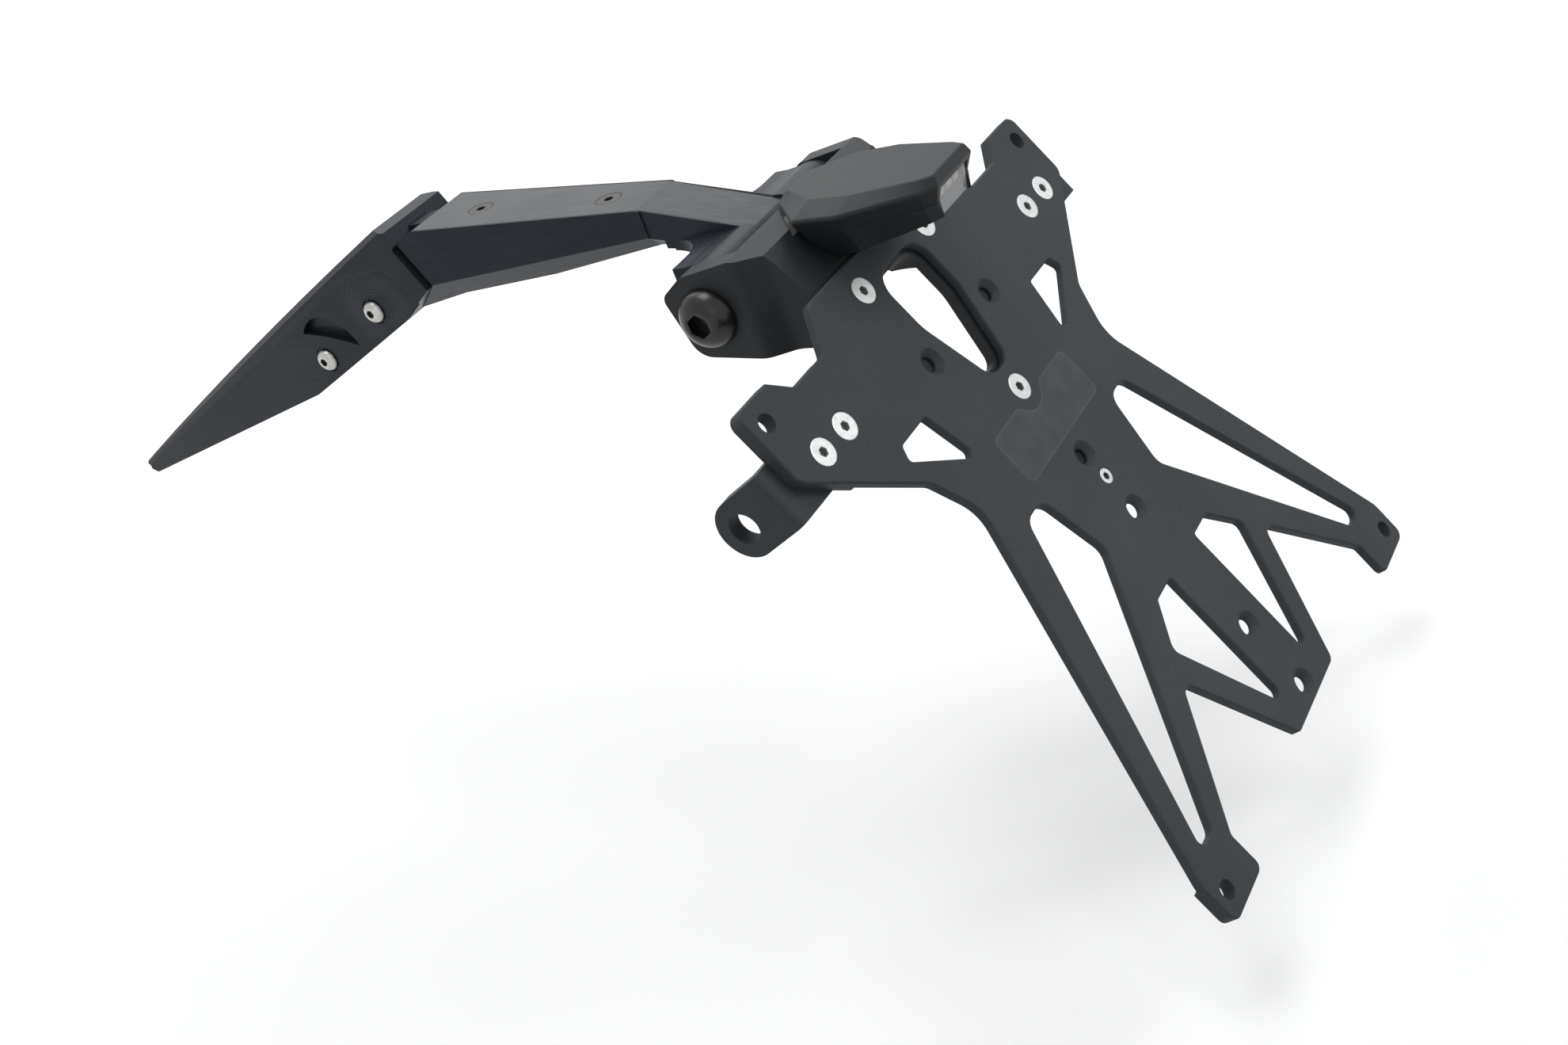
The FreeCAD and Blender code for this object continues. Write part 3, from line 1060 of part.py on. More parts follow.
def arm_cover():
    body = new_body("arm_cover", AT_PIVOT)
    under = COVER_THICKNESS
    band = [(COVER_REAR_Y - 3, top_at(COVER_REAR_Y - 3, 0)), (ARM_KINK_Y, ARM_KINK_Z),
            (ARM_FRONT_Y + 3, top_at(ARM_FRONT_Y + 3, 0)),
            (ARM_FRONT_Y + 3, top_at(ARM_FRONT_Y + 3, under)), arm_top_line(under)[1],
            (COVER_REAR_Y - 3, top_at(COVER_REAR_Y - 3, under))]
    pad(body, "strip", drawn(body, "side_view", "YZ_Plane", [band]), "2 * Dimensions.barrel_half",
        symmetric=True)
    cut_through(body, "sides", drawn(body, "plan", "XY_Plane", plan_waste(cover_plan(0), 2 * THROUGH)))
    for number, y in enumerate((COVER_SCREW_FRONT, COVER_SCREW_REAR)):
        shank_r = CLEAR_HOLE / 2
        head_r = SIZES["mouth"] / 2
        sketch = new_sketch(body, "sink_%d_profile" % number, "XZ_Plane")
        under = COVER_THICKNESS + 1
        half = [(0, 1), (head_r, 1), (head_r, 0), (shank_r, shank_r - head_r), (shank_r, -under),
                (0, -under)]
        add_outline(sketch, half)
        at = cover_normal(y, 0)
        sketch.AttachmentOffset = Placement(Vector(0, at.Base.z, -at.Base.y),
                                            turn_x(math.degrees(arm_top_line(0)[2])))
        groove = body.newObject("PartDesign::Groove", "arm_cover_sink_%d" % number)
        groove.Profile = sketch
        groove.ReferenceAxis = (sketch, ["V_Axis"])
        groove.Angle = 360
    return keep(body, "arm_cover")


# Nose
NOSE_SCREWS = [(NOSE_SCREW_A, NOSE_SCREW_A_DROP), (NOSE_SCREW_B, NOSE_SCREW_B_DROP)]
NOSE_TAPER = math.degrees(math.atan2(NOSE_REAR_HALF - NOSE_TIP_HALF, NOSE_LENGTH - NOSE_REAR))


def nose_half(along):
    return NOSE_REAR_HALF - (along - NOSE_REAR) * math.tan(math.radians(NOSE_TAPER))


def side_face(side, sunk=0.0):
    """Sketch place on the nose's tapering side: x forward, y up, facing outwards on the right."""
    turn = Rotation(Vector(0, 1, 0), side * NOSE_TAPER)
    return Placement(Vector(0, 0, side * (nose_half(0) - sunk)), turn)


def mounting_nose():
    body = new_body("mounting_nose", AT_NOSE)
    tip = NOSE_LENGTH
    sketch = new_sketch(body, "side_view", "YZ_Plane")
    corners = [Vector(tip, NOSE_TIP_RISE, 0), Vector(tip + 2, -NOSE_TIP_DROP / 2, 0),
               Vector(tip, -NOSE_TIP_DROP, 0), Vector(NOSE_BELLY, -NOSE_BELLY_DROP, 0),
               Vector(NOSE_HEEL, -NOSE_HEEL_DROP, 0), Vector(NOSE_REAR, -NOSE_BACK_DROP, 0),
               Vector(NOSE_REAR, -NOSE_BEVEL, 0), Vector(0, 0, 0)]
    for first, last in zip(corners, corners[1:]):
        sketch.addGeometry(Part.LineSegment(first, last), False)
    crest = Vector(tip / 2, nose_top(tip / 2), 0)
    sketch.addGeometry(Part.Arc(corners[-1], crest, corners[0]), False)
    pad(body, "blank", sketch, "2 * Dimensions.nose_rear_half", symmetric=True)
    wide = NOSE_REAR_HALF + 4
    ahead = tip + 8
    waste = [(nose_half(NOSE_REAR - 4), NOSE_REAR - 4), (NOSE_TIP_HALF, tip, 2), (0, tip + 2.2),
             (0, ahead), (wide, ahead), (wide, NOSE_REAR - 4)]
    cut_through(body, "taper", drawn(body, "plan_waste", "XY_Plane", [waste]))
    cut_through(body, "taper_left", drawn(body, "plan_waste_left", "XY_Plane", [mirrored(waste)]))
    top = edges_where(body, lambda e: e.Length > 100 and e.BoundBox.ZMin > -NOSE_TIP_DROP / 2
                      and abs(e.BoundBox.XMin) > 1)
    dress(body, "Chamfer", "top_edges", top, Size="Dimensions.nose_edge")
    # Milled hollow, screw beds and crescent window in each side
    for name, side in (("right", 1), ("left", -1)):
        scoop = [(SCOOP_REAR, -THROUGH), (SCOOP_BEND, -SCOOP_BEND_DROP, 8),
                 (SCOOP_CREST, -SCOOP_CREST_DROP, 30),
                 (tip + 10, -SCOOP_TIP_DROP), (tip + 10, -THROUGH)]
        flip = side > 0
        hollow = drawn(body, "scoop_" + name, "YZ_Plane", [scoop], side_face(side, SCOOP_DEPTH))
        cut = pocket(body, "hollow_" + name, hollow, "2 * Dimensions.scoop_depth", reverse=flip)
        cut.TaperAngle = SCOOP_BANK_DEG
        groove = [(NOSE_REAR - 2, -JOINT_GROOVE_DROP, 0),
                  (NOSE_REAR + JOINT_GROOVE, -JOINT_GROOVE_DROP, 0.8),
                  (NOSE_REAR + JOINT_GROOVE, -THROUGH), (NOSE_REAR - 2, -THROUGH)]
        notch = drawn(body, "groove_" + name, "YZ_Plane", [groove], side_face(side, JOINT_GROOVE_DEPTH))
        pocket(body, "joint_" + name, notch, "Dimensions.through", reverse=flip)
        beds = new_sketch(body, "beds_" + name, "YZ_Plane", side_face(side, NOSE_SCREW_SINK))
        for along, drop in NOSE_SCREWS:
            add_circle(beds, along, -drop, "nose_bore")
        pocket(body, "screw_beds_" + name, beds, "Dimensions.through", reverse=flip)
        window = new_sketch(body, "window_" + name, "YZ_Plane", side_face(side, WINDOW_DEPTH))
        horn_a = Vector(WINDOW_FRONT, -WINDOW_FRONT_DROP, 0)
        horn_b = Vector(WINDOW_REAR, -WINDOW_REAR_DROP, 0)
        window.addGeometry(Part.Arc(horn_a, Vector(WINDOW_WIDE, -WINDOW_WIDE_DROP, 0), horn_b), False)
        window.addGeometry(Part.Arc(horn_b, Vector(WINDOW_SLIM, -WINDOW_SLIM_DROP, 0), horn_a), False)
        pocket(body, "crescent_" + name, window, "Dimensions.through", reverse=flip)
    gap = FIT_GAP
    socket = [(NOSE_REAR - 5, -TENON_TOP + gap), (TENON_LENGTH + SOCKET_END, -TENON_TOP + gap),
              (TENON_LENGTH + SOCKET_END, -TENON_FOOT - gap), (NOSE_REAR - 5, -TENON_FOOT - gap)]
    pocket(body, "socket", drawn(body, "socket_view", "YZ_Plane", [socket]),
           "2 * (Dimensions.tenon_half + Dimensions.fit_gap)", symmetric=True)
    shanks = new_sketch(body, "shank_view", "YZ_Plane")
    for along, drop in NOSE_SCREWS:
        add_circle(shanks, along, -drop, "clear_hole")
    cut_through(body, "shank_bores", shanks)
    for number, along in enumerate((TAIL_BOLT_A, TAIL_BOLT_B)):
        mark = new_sketch(body, "tail_bolt_%d" % number, "XY_Plane",
                          Placement(Vector(0, along, nose_top(along) + SEAT_GAP), Rotation()))
        add_circle(mark, 0, 0, "tail_thread")
        pocket(body, "tail_bore_%d" % number, mark, "Dimensions.tail_depth + Dimensions.seat_gap")
    return keep(body, "mounting_nose")


def nose_screws():
    pieces = []
    for side_name, side in (("right", 1), ("left", -1)):
        for number, (along, drop) in enumerate(NOSE_SCREWS):
            slope = math.radians(NOSE_TAPER)
            bed = nose_half(along) - NOSE_SCREW_SINK / math.cos(slope)
            seat = bed + SCREW_HEAD / 2 * math.tan(slope) + SEAT_GAP
            turn = Rotation(Vector(0, 1, 0), side * 90)
            place = AT_NOSE * Placement(Vector(side * seat, along, -drop), turn)
            reach = bed - SCREW_MIDDLE
            pieces.append(button_screw("nose_screw_%s_%d" % (side_name, number), place, "screw_size",
                                       "screw_head",
                                       "button_rise", reach, "hex_size", "hex_depth"))
    return group("nose_screws", pieces)


def pivot_bolt(label, side):
    place = AT_PIVOT * Placement(Vector(side * (HEAD_HALF + BOLT_SEAT_GAP), 0, 0),
                                 Rotation(Vector(0, 1, 0), side * 90))
    reach = HEAD_HALF - BARREL_HALF + BOLT_GRIP
    return keep(button_screw(label, place, "bolt_size", "bolt_head", "bolt_head_rise", reach, "bolt_hex",
                             "bolt_hex_depth"), label)


def set_screw():
    body = new_body("set_screw", AT_PLATE * Placement(Vector(0, -SET_SCREW_DROP, 0), Rotation()))
    disc = new_sketch(body, "disc", "XY_Plane")
    add_circle(disc, 0, 0, "set_screw_stud")
    pad(body, "stud", disc, "Dimensions.plate_thickness + 1", reverse=True)
    pocket(body, "socket", drawn(body, "hex", "XY_Plane", [hexagon(SET_SCREW_HEX)]), "Dimensions.hex_depth")
    return keep(body, "set_screw")


def on_sheet(x, y):
    """Flat screws sit just below the sheet's face."""
    return AT_PLATE * Placement(Vector(x, y, -HEAD_SUNK), Rotation())


mounting_nose()
arm()
arm_cover()
nose_screws()
group("cover_screws", [flat_screw("cover_screw_%d" % i, AT_PIVOT * cover_normal(y, -HEAD_SUNK))
                       for i, y in enumerate((COVER_SCREW_FRONT, COVER_SCREW_REAR))])
pivot_bolt("pivot_bolt_right", 1)
pivot_bolt("pivot_bolt_left", -1)
tilt_head()
head_inserts()
lamp_cover()
lamp_base()
lamp_lens()
lamp_board()
lamp_screws()
plate_carrier()
group("plate_screws", [flat_screw("plate_screw_%d" % i, on_sheet(x, y)) for i,
                       (x, y) in enumerate(SCREW_PLACES)])
indicator_bracket("indicator_bracket_right", 1)
indicator_bracket("indicator_bracket_left", -1)
group("bracket_screws", [flat_screw("bracket_screw_%d" % i, on_sheet(x, y))
                         for i, (x, y) in enumerate(BRACKET_SCREWS)])
set_screw()
doc.recompute()

# Checks and files
for item in doc.Objects:
    if "Invalid" in item.State or "Error" in item.State:
        raise RuntimeError("failed: %s %s" % (item.Name, item.State))
for label, item in SUBPARTS:
    if item.Shape.isNull() or not item.Shape.isValid():
        raise RuntimeError("bad shape: " + label)
os.makedirs("parts", exist_ok=True)
for label, item in SUBPARTS:
    item.Shape.exportStep("parts/%s.step" % label)
    print("%-26s solids %d  volume %10.1f" % (label, len(item.Shape.Solids), item.Shape.Volume))
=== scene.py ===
import math

import bpy
from mathutils import Matrix, Vector


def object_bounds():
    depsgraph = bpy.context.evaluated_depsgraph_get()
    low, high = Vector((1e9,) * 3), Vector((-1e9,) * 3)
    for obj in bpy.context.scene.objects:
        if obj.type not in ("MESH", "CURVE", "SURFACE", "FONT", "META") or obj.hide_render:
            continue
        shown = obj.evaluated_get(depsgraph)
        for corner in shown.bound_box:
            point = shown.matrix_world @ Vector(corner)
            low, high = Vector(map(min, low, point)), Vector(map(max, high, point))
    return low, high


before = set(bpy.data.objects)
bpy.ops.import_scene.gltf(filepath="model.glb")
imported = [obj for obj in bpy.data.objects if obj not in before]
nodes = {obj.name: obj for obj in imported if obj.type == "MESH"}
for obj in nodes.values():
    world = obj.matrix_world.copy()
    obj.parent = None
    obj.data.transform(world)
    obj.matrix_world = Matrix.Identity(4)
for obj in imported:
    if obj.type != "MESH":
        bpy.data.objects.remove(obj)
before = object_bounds()

# Places on the part, in metres in the frame
PLATE_LEAN = math.radians(30)
PLATE_TOP = (0, -0.246217, 0.002808)
LOW_SCREW = (0, -0.269767, -0.037982)
NOSE_SLOPE = math.radians(24.2)
NOSE_SCREW = (0, -0.06729, 0.00958)

# Radius that the light gives every sharp edge
EDGE_ROUND = 0.0004
# Painted shade: distance over which a socket or corner darkens a metal's colour, and the open share of
# sky over which that darkening spans
PIT_REACH = 0.0025
PIT_SKY = (0.35, 0.9)

# Part of a noise's range over which a finish changes colour, and over which it changes gloss
COLOUR_SPAN = (0.35, 0.65)
METAL_SPAN = (0.36, 0.64)
MILLED_SPAN = (0.36, 0.66)
GLOSS_SPAN = (0.3, 0.7)

# Cutter's lines on the milled pieces: how they stretch, the pitch of the rings and how far they reach
CUT_STRETCH = (500, 12, 1100)
RING_PITCH = 0.001
RING_REACH = 0.015
RING_FADE = 0.75
CUT_DEPTH = 0.0003

# Clear film on the plate: half sizes, corners, place below the plate's top, notch round the screw
FILM_HALF = (0.0233, 0.0075)
FILM_CORNER = 0.0022
FILM_DROP = 0.0575
FILM_NOTCH = 0.0072
FILM_RIM = 0.0004
FILM_SOFT = 0.00012
FILM_SMEARS = 200
FILM_SHINE = (0.15, 0.32)
RIM_SHINE = 0.3
FILM_ROUGH = 0.25

# Camera, worked out from the plate's holes
LENS_MM = 43.06
SENSOR_MM = 36.0
EYE = Vector((-0.38079, -0.49989, 0.17842))
EYE_RIGHT = Vector((0.46522, -0.81869, -0.33664))
EYE_UP = Vector((0.56938, -0.01442, 0.82195))
EYE_BACK = Vector((-0.67777, -0.57406, 0.45943))

# Floor, which the foot of the plate clears at every tilt
FLOOR_GAP = 0.028
FLOOR_SIZE = 30
FLOOR_CENTRE = (0, -0.2)
FLOOR_SEEN = ((0.64, 0.64, 0.64), (0.66, 0.66, 0.66))
FLAT = (1, 1, 0)
# Colour that the floor throws back: grey, but pale in a pool beside the nose
FLOOR_THROWN = ((0.25, 0.25, 0.26), (0.95, 0.95, 0.97))
POOL = (-0.13, 0.42, 0)
POOL_SPAN = (0.02, 0.22)
# The floor's own glow to the eye, from near the part to far away, which whitens it to the horizon
GLOW_SPAN = (0.3, 1.0)
GLOW = (0.27, 0.7)

# Sky's strength by the height of the direction: dim sides, bright band, dimmer top
SKY_TINT = (0.97, 0.985, 1.0, 1)
SKY_RISE = (0.05, 0.42)
SKY_STRENGTH = (0.32, 1.0)
SKY_FALL = (0.55, 0.85)
SKY_TOP_LOSS = 0.72
WHITE = (1, 1, 1, 1)

# Lamps: place, what they point at, side of the square, watts
LAMPS = {
    "top": ((-0.04, -0.12, 1.3), (0, -0.15, 0), 0.6, 6.8),
    "front": ((0.62, 0.52, 1.05), (0, -0.15, 0), 1.1, 7),
    "side": ((-1.2, -0.9, 0.7), (0, -0.2, 0), 0.8, 0.9),
    "rear": ((0.6, -1.3, 0.9), (0, -0.25, -0.05), 0.7, 6),
}


# Node helpers: an operand is a socket, which is linked, or a plain value, which is set
def feed(tree, socket, operand):
    if isinstance(operand, bpy.types.NodeSocket):
        tree.links.new(operand, socket)
    else:
        socket.default_value = operand


def calc(tree, operation, *operands):
    """Math node."""
    node = tree.nodes.new("ShaderNodeMath")
    node.operation = operation
    for socket, operand in zip(node.inputs, operands):
        feed(tree, socket, operand)
    return node.outputs["Value"]


def calc_vector(tree, operation, *operands):
    """Vector Math node."""
    node = tree.nodes.new("ShaderNodeVectorMath")
    node.operation = operation
    for socket, operand in zip(node.inputs, operands):
        feed(tree, socket, operand)
    return node.outputs["Value" if operation in ("LENGTH", "DOT_PRODUCT") else "Vector"]


def weighted(tree, *pairs):
    """Sum of several values, each given with its share."""
    terms = [calc(tree, "MULTIPLY", value, share) for value, share in pairs]
    last = terms[0]
    for term in terms[1:]:
        last = calc(tree, "ADD", last, term)
    return last


def ramp(tree, value, span, ends):
    """Value carried from the range span to the range ends, and held there."""
    node = tree.nodes.new("ShaderNodeMapRange")
    feed(tree, node.inputs["Value"], value)
    node.inputs["From Min"].default_value, node.inputs["From Max"].default_value = span
    node.inputs["To Min"].default_value, node.inputs["To Max"].default_value = ends
    return node.outputs["Result"]


def mixed(tree, factor, first, second):
    """Colour between first and second, each a socket or red, green and blue."""
    node = tree.nodes.new("ShaderNodeMix")
    node.data_type = "RGBA"
    tree.links.new(factor, node.inputs["Factor"])
    for name, colour in (("A", first), ("B", second)):
        feed(tree, node.inputs[name], (*colour, 1) if isinstance(colour, tuple) else colour)
    return node.outputs["Result"]


def place(tree):
    """Where a point of the surface is, in the object's own coordinates."""
    return tree.nodes.new("ShaderNodeTexCoord").outputs["Object"]


def stretched(tree, scale=(1, 1, 1), turn=(0, 0, 0)):
    """Place, stretched and turned for a pattern."""
    mapping = tree.nodes.new("ShaderNodeMapping")
    mapping.inputs["Scale"].default_value = scale
    mapping.inputs["Rotation"].default_value = turn
    tree.links.new(place(tree), mapping.inputs["Vector"])
    return mapping.outputs["Vector"]


def noise(tree, vector, scale, detail, rough=0.55):
    node = tree.nodes.new("ShaderNodeTexNoise")
    node.inputs["Scale"].default_value = scale
    node.inputs["Detail"].default_value = detail
    node.inputs["Roughness"].default_value = rough
    tree.links.new(vector, node.inputs["Vector"])
    return node.outputs["Fac"]


def distance_from(tree, centre, squash=(1, 1, 1)):
    """Distance of a point from centre; squash leaves out a direction where it is 0."""
    offset = calc_vector(tree, "SUBTRACT", place(tree), centre)
    return calc_vector(tree, "LENGTH", calc_vector(tree, "MULTIPLY", offset, squash))


def along(tree, direction, start):
    """Distance of a point past start, measured along a direction."""
    return calc(tree, "SUBTRACT", calc_vector(tree, "DOT_PRODUCT", place(tree), direction), start)


def waves(tree, value, pitch):
    """Wave between 0 and 1 that repeats every pitch of value."""
    turn = calc(tree, "MULTIPLY", value, 2 * math.pi / pitch)
    return ramp(tree, calc(tree, "SINE", turn), (-1, 1), (0, 1))


def within(tree, value, low, high, soft):
    """1 where value lies between low and high, with soft edges."""
    rise = ramp(tree, value, (low - soft, low + soft), (0, 1))
    fall = ramp(tree, value, (high - soft, high + soft), (1, 0))
    return calc(tree, "MULTIPLY", rise, fall)


# Materials: every finish is made from procedural nodes in the object's own coordinates
def new_material(name):
    material = bpy.data.materials.new(name)
    material.use_nodes = True
    tree = material.node_tree
    tree.nodes.clear()
    output = tree.nodes.new("ShaderNodeOutputMaterial")
    shader = tree.nodes.new("ShaderNodeBsdfPrincipled")
    tree.links.new(shader.outputs["BSDF"], output.inputs["Surface"])
    return material, tree, shader


def find_node(tree, kind):
    return next(node for node in tree.nodes if node.type == kind)


def set_rough(tree, shader, shade, rough, below, above):
    """Roughness that wanders with shade, from below the given one to above it."""
    wander = ramp(tree, shade, GLOSS_SPAN, (rough - below, rough + above))
    tree.links.new(wander, shader.inputs["Roughness"])


def set_relief(tree, shader, height, strength, depth):
    """Fine relief from height, on edges that the light rounds."""
    soft = tree.nodes.new("ShaderNodeBevel")
    soft.samples = 4
    soft.inputs["Radius"].default_value = EDGE_ROUND
    node = tree.nodes.new("ShaderNodeBump")
    node.inputs["Strength"].default_value = strength
    node.inputs["Distance"].default_value = depth
    tree.links.new(height, node.inputs["Height"])
    tree.links.new(soft.outputs["Normal"], node.inputs["Normal"])
    tree.links.new(node.outputs["Normal"], shader.inputs["Normal"])


def painted_pit_shade(tree, colour, darkest_shade):
    """Colour with painted shade, darkened down to the given share of it in sockets and narrow corners
    that occlusion finds.
    """
    node = tree.nodes.new("ShaderNodeAmbientOcclusion")
    node.samples = 6
    node.inputs["Distance"].default_value = PIT_REACH
    darker = tree.nodes.new("ShaderNodeVectorMath")
    darker.operation = "SCALE"
    tree.links.new(colour, darker.inputs[0])
    tree.links.new(ramp(tree, node.outputs["AO"], PIT_SKY, (darkest_shade, 1)), darker.inputs["Scale"])
    return darker.outputs["Vector"]


def grained(name, dark, light, rough, grain, depth, cloud, metallic=0.0, specular=0.5, coat=0.0):
    """Moulded or coated surface: fine grain in the relief, slow clouds in colour and gloss."""
    material, tree, shader = new_material(name)
    slow = noise(tree, stretched(tree), cloud, 3)
    fine = noise(tree, stretched(tree), grain, 2, 0.6)
    shade = weighted(tree, (slow, 0.6), (fine, 0.4))
    colour = mixed(tree, ramp(tree, shade, COLOUR_SPAN, (0, 1)), dark, light)
    tree.links.new(colour, shader.inputs["Base Color"])
    set_rough(tree, shader, shade, rough, 0.05, 0.06)
    shader.inputs["Metallic"].default_value = metallic
    shader.inputs["Specular IOR Level"].default_value = specular
    shader.inputs["Coat Weight"].default_value = coat
    set_relief(tree, shader, fine, 0.5, depth)
    return material


def brushed(name, dark, light, rough, stretch, depth, metallic=1.0, specular=0.5, darkest_shade=0.12):
    """Metal with fine parallel lines, and painted shade that darkens its colour in sockets and corners;
    stretch is small along the lines.
    """
    material, tree, shader = new_material(name)
    lines = noise(tree, stretched(tree, stretch), 1.0, 3, 0.6)
    slow = noise(tree, stretched(tree), 30, 3)
    shade = weighted(tree, (slow, 0.45), (lines, 0.55))
    colour = mixed(tree, ramp(tree, shade, METAL_SPAN, (0, 1)), dark, light)
    # Painted shade: the metal's colour darkens in sockets and narrow corners
    tree.links.new(painted_pit_shade(tree, colour, darkest_shade), shader.inputs["Base Color"])
    set_rough(tree, shader, shade, rough, 0.06, 0.08)
    shader.inputs["Metallic"].default_value = metallic
    shader.inputs["Specular IOR Level"].default_value = specular
    set_relief(tree, shader, lines, 0.3, depth)
    return material


def milled(name, dark, light, rough):
    """Anodised aluminium: cutter's lines along the nose's slope, and rings round its screw."""
    material, tree, shader = new_material(name)
    lines = noise(tree, stretched(tree, CUT_STRETCH, (NOSE_SLOPE, 0, 0)), 1.0, 3, 0.6)
    radius = distance_from(tree, NOSE_SCREW, (0, 1, 1))
    near = ramp(tree, radius, (RING_REACH * RING_FADE, RING_REACH), (1, 0))
    rings = calc(tree, "MULTIPLY", waves(tree, radius, RING_PITCH), near)
    slow = noise(tree, stretched(tree), 26, 3)
    fine = noise(tree, stretched(tree), 1900, 2)
    shade = weighted(tree, (slow, 0.45), (lines, 0.3), (fine, 0.2), (rings, 0.22))
    colour = mixed(tree, ramp(tree, shade, MILLED_SPAN, (0, 1)), dark, light)
    tree.links.new(colour, shader.inputs["Base Color"])
    set_rough(tree, shader, shade, rough, 0.05, 0.08)
    shader.inputs["Metallic"].default_value = 0.12
    shader.inputs["Specular IOR Level"].default_value = 0.09
    relief = weighted(tree, (lines, 0.5), (rings, 0.6), (fine, 0.25))
    set_relief(tree, shader, relief, 0.5, CUT_DEPTH)
    return material


def film_outline(tree):
    """Distance past the outline of the film on the plate, negative inside it."""
    down = Vector((0, -math.sin(PLATE_LEAN), -math.cos(PLATE_LEAN)))
    spot = tree.nodes.new("ShaderNodeCombineXYZ")
    tree.links.new(along(tree, (1, 0, 0), 0), spot.inputs["X"])
    tree.links.new(along(tree, down, down.dot(Vector(PLATE_TOP)) + FILM_DROP), spot.inputs["Y"])
    inner = (FILM_HALF[0] - FILM_CORNER, FILM_HALF[1] - FILM_CORNER, 0)
    outside = calc_vector(tree, "SUBTRACT", calc_vector(tree, "ABSOLUTE", spot.outputs["Vector"]), inner)
    reach = calc_vector(tree, "LENGTH", calc_vector(tree, "MAXIMUM", outside, (0, 0, 0)))
    box = calc(tree, "SUBTRACT", reach, FILM_CORNER)
    notch = calc(tree, "SUBTRACT", FILM_NOTCH, distance_from(tree, LOW_SCREW))
    return calc(tree, "SMOOTH_MAX", box, notch, FILM_CORNER)


def labelled(name, **coating):
    """Coated plate with a bare strip of clear film across its middle."""
    material = grained(name, **coating)
    tree = material.node_tree
    shader = find_node(tree, "BSDF_PRINCIPLED")
    past = film_outline(tree)
    film = ramp(tree, past, (-FILM_SOFT, FILM_SOFT), (1, 0))
    rim = within(tree, past, -FILM_RIM, 0, FILM_SOFT)
    smears = ramp(tree, noise(tree, stretched(tree), FILM_SMEARS, 2), COLOUR_SPAN, FILM_SHINE)
    face = calc(tree, "MULTIPLY", film, smears)
    tree.links.new(weighted(tree, (face, 1), (rim, RIM_SHINE)), shader.inputs["Coat Weight"])
    shader.inputs["Coat Roughness"].default_value = FILM_ROUGH
    return material


def clear_plastic(name, tint, rough):
    material, tree, shader = new_material(name)
    slow = noise(tree, stretched(tree), 120, 2)
    shader.inputs["Base Color"].default_value = (*tint, 1)
    shader.inputs["Transmission Weight"].default_value = 0.92
    shader.inputs["IOR"].default_value = 1.49
    set_rough(tree, shader, slow, rough, 0, 0.06)
    set_relief(tree, shader, slow, 0.15, 0.00008)
    return material


COATING = {"dark": (0.026, 0.031, 0.035), "light": (0.046, 0.053, 0.058), "rough": 0.6,
           "grain": 1700, "depth": 0.00016, "cloud": 18, "specular": 0.22}
# Each finish with its material and the pieces that have it
FINISHES = [
    (grained("coated_black", **COATING), ["indicator_bracket_left", "indicator_bracket_right"]),
    (labelled("plate_black", **COATING), ["plate_carrier"]),
    (grained("moulded_black", dark=(0.012, 0.014, 0.016), light=(0.022, 0.025, 0.028), rough=0.46,
             grain=1900, depth=0.00012, cloud=24, specular=0.2),
     ["tilt_head", "lamp_cover", "lamp_base"]),
    (milled("milled_black", dark=(0.016, 0.020, 0.026), light=(0.032, 0.038, 0.047), rough=0.31),
     ["mounting_nose", "arm"]),
    (brushed("brushed_black", dark=(0.034, 0.037, 0.040), light=(0.085, 0.089, 0.093), rough=0.36,
             stretch=(1500, 8, 500), depth=0.00012, metallic=0.22, specular=0.13),
     ["arm_cover"]),
    (brushed("stainless", dark=(0.40, 0.39, 0.375), light=(0.58, 0.57, 0.55), rough=0.3,
             stretch=(700, 700, 700), depth=0.00004, darkest_shade=0.3),
     ["nose_screws", "lamp_screws"]),
    (brushed("zinc", dark=(0.58, 0.61, 0.60), light=(0.78, 0.80, 0.79), rough=0.32,
             stretch=(600, 600, 600), depth=0.00004, metallic=0.6, darkest_shade=0.35),
     ["plate_screws", "bracket_screws", "set_screw"]),
    (grained("black_steel", dark=(0.016, 0.017, 0.018), light=(0.028, 0.029, 0.030), rough=0.34,
             grain=1800, depth=0.00003, cloud=60, metallic=0.3, specular=0.3),
     ["cover_screws"]),
    (grained("gloss_black_steel", dark=(0.005, 0.005, 0.006), light=(0.010, 0.010, 0.011), rough=0.3,
             grain=1500, depth=0.00002, cloud=50, specular=0.35, coat=0.1),
     ["pivot_bolt_left", "pivot_bolt_right"]),
    (brushed("brass", dark=(0.50, 0.36, 0.14), light=(0.68, 0.50, 0.22), rough=0.32,
             stretch=(500, 500, 500), depth=0.00004),
     ["head_inserts"]),
    (clear_plastic("clear_lens", tint=(0.80, 0.82, 0.83), rough=0.12), ["lamp_lens"]),
    (grained("board", dark=(0.30, 0.31, 0.31), light=(0.40, 0.41, 0.40), rough=0.5,
             grain=1200, depth=0.00002, cloud=90),
     ["lamp_board"]),
    (grained("chips", dark=(0.52, 0.50, 0.38), light=(0.62, 0.60, 0.46), rough=0.4,
             grain=1500, depth=0.00002, cloud=140),
     ["lamp_chips"]),
]
for material, pieces in FINISHES:
    for name in pieces:
        nodes[name].data.materials.clear()
        nodes[name].data.materials.append(material)


def photo_camera():
    """Camera that stands where the photograph was taken."""
    camera = bpy.data.cameras.new("camera")
    camera.sensor_width = SENSOR_MM
    camera.lens = LENS_MM
    camera.clip_start = 0.01
    camera.clip_end = 50
    eye = bpy.data.objects.new("camera", camera)
    bpy.context.scene.collection.objects.link(eye)
    turn = Matrix((EYE_RIGHT, EYE_UP, EYE_BACK)).transposed()
    eye.matrix_world = Matrix.Translation(EYE) @ turn.to_4x4()
    return eye


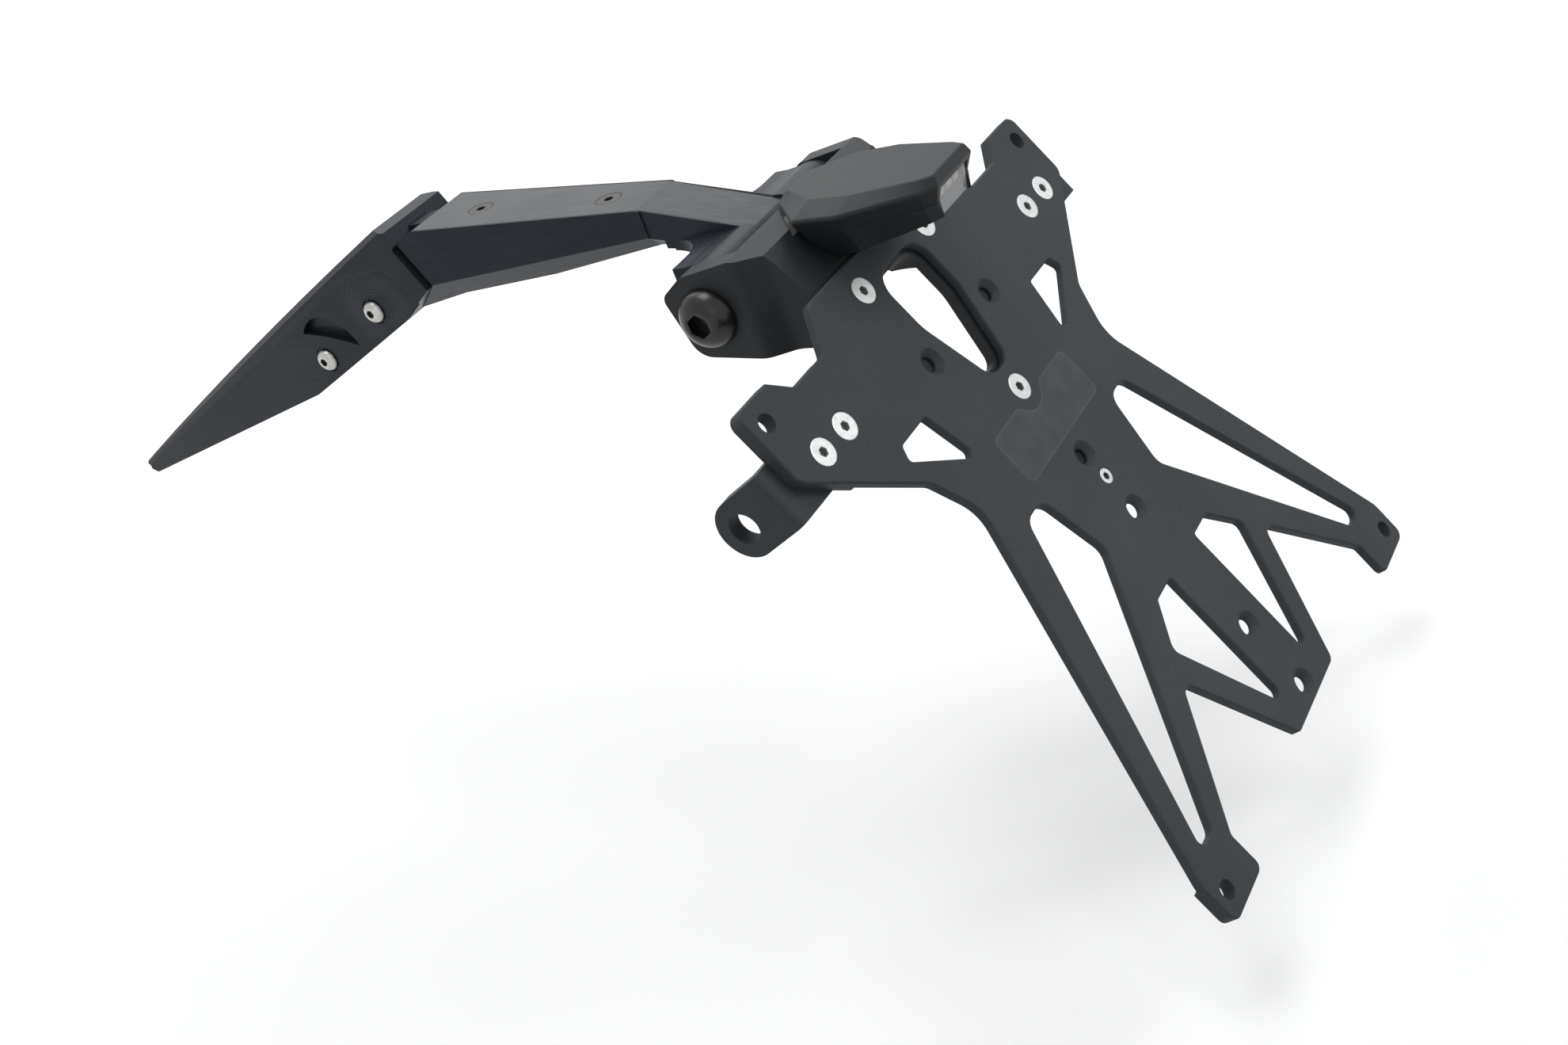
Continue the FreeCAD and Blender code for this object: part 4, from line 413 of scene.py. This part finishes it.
def seen_directly(tree):
    """1 where a surface is seen straight, in a reflection or through the lens, 0 for light it throws."""
    path = tree.nodes.new("ShaderNodeLightPath")
    mirrored = calc(tree, "MAXIMUM", path.outputs["Is Camera Ray"], path.outputs["Is Glossy Ray"])
    return calc(tree, "MAXIMUM", mirrored, path.outputs["Is Transmission Ray"])


def two_shaders(tree, factor, first, second):
    """Shader between first and second."""
    node = tree.nodes.new("ShaderNodeMixShader")
    for socket, source in zip(node.inputs, (factor, first, second)):
        tree.links.new(source, socket)
    return node.outputs["Shader"]


def floor_material():
    """White to the eye, greyer in the light that it throws, and clear when seen from below."""
    material, tree, shader = new_material("floor")
    direct = seen_directly(tree)
    seen = mixed(tree, noise(tree, stretched(tree), 3, 2), *FLOOR_SEEN)
    pool = ramp(tree, distance_from(tree, POOL, FLAT), POOL_SPAN, (1, 0))
    thrown = mixed(tree, pool, *FLOOR_THROWN)
    tree.links.new(mixed(tree, direct, thrown, seen), shader.inputs["Base Color"])
    shader.inputs["Roughness"].default_value = 0.9
    shader.inputs["Specular IOR Level"].default_value = 0.1
    shader.inputs["Emission Color"].default_value = WHITE
    glow = ramp(tree, distance_from(tree, (0, 0, 0), FLAT), GLOW_SPAN, GLOW)
    tree.links.new(calc(tree, "MULTIPLY", direct, glow), shader.inputs["Emission Strength"])
    underside = tree.nodes.new("ShaderNodeNewGeometry").outputs["Backfacing"]
    clear = tree.nodes.new("ShaderNodeBsdfTransparent").outputs["BSDF"]
    from_below = calc(tree, "MULTIPLY", direct, underside)
    surface = two_shaders(tree, from_below, shader.outputs["BSDF"], clear)
    tree.links.new(surface, find_node(tree, "OUTPUT_MATERIAL").inputs["Surface"])
    return material


def studio_sky():
    """Surroundings that light the part from a bright band, and are plain white to the eye."""
    world = bpy.data.worlds.new("studio")
    world.use_nodes = True
    tree = world.node_tree
    tree.nodes.clear()
    split = tree.nodes.new("ShaderNodeSeparateXYZ")
    tree.links.new(tree.nodes.new("ShaderNodeTexCoord").outputs["Generated"], split.inputs["Vector"])
    band = ramp(tree, split.outputs["Z"], SKY_RISE, SKY_STRENGTH)
    top_loss = ramp(tree, split.outputs["Z"], SKY_FALL, (0, SKY_TOP_LOSS))
    lit = tree.nodes.new("ShaderNodeBackground")
    lit.inputs["Color"].default_value = SKY_TINT
    tree.links.new(calc(tree, "SUBTRACT", band, top_loss), lit.inputs["Strength"])
    plain = tree.nodes.new("ShaderNodeBackground")
    plain.inputs["Color"].default_value = WHITE
    plain.inputs["Strength"].default_value = 1.0
    output = tree.nodes.new("ShaderNodeOutputWorld")
    sky = two_shaders(tree, seen_directly(tree), lit.outputs["Background"], plain.outputs["Background"])
    tree.links.new(sky, output.inputs["Surface"])
    return world


def area_light(name, spot, target, side, watts):
    """Square lamp that points at target."""
    lamp = bpy.data.lights.new(name, "AREA")
    lamp.shape = "SQUARE"
    lamp.size = side
    lamp.energy = watts
    holder = bpy.data.objects.new(name, lamp)
    holder.location = spot
    holder.rotation_mode = "QUATERNION"
    holder.rotation_quaternion = (Vector(target) - Vector(spot)).to_track_quat("-Z", "Y")
    bpy.context.scene.collection.objects.link(holder)


bpy.ops.mesh.primitive_plane_add(size=FLOOR_SIZE, location=(*FLOOR_CENTRE, before[0].z - FLOOR_GAP))
floor = bpy.context.object
floor.name = "floor"
floor.data.materials.append(floor_material())

bpy.context.scene.camera = photo_camera()
bpy.context.scene.world = studio_sky()
for name, lamp in LAMPS.items():
    area_light(name, *lamp)
bpy.context.scene.view_settings.view_transform = "Standard"
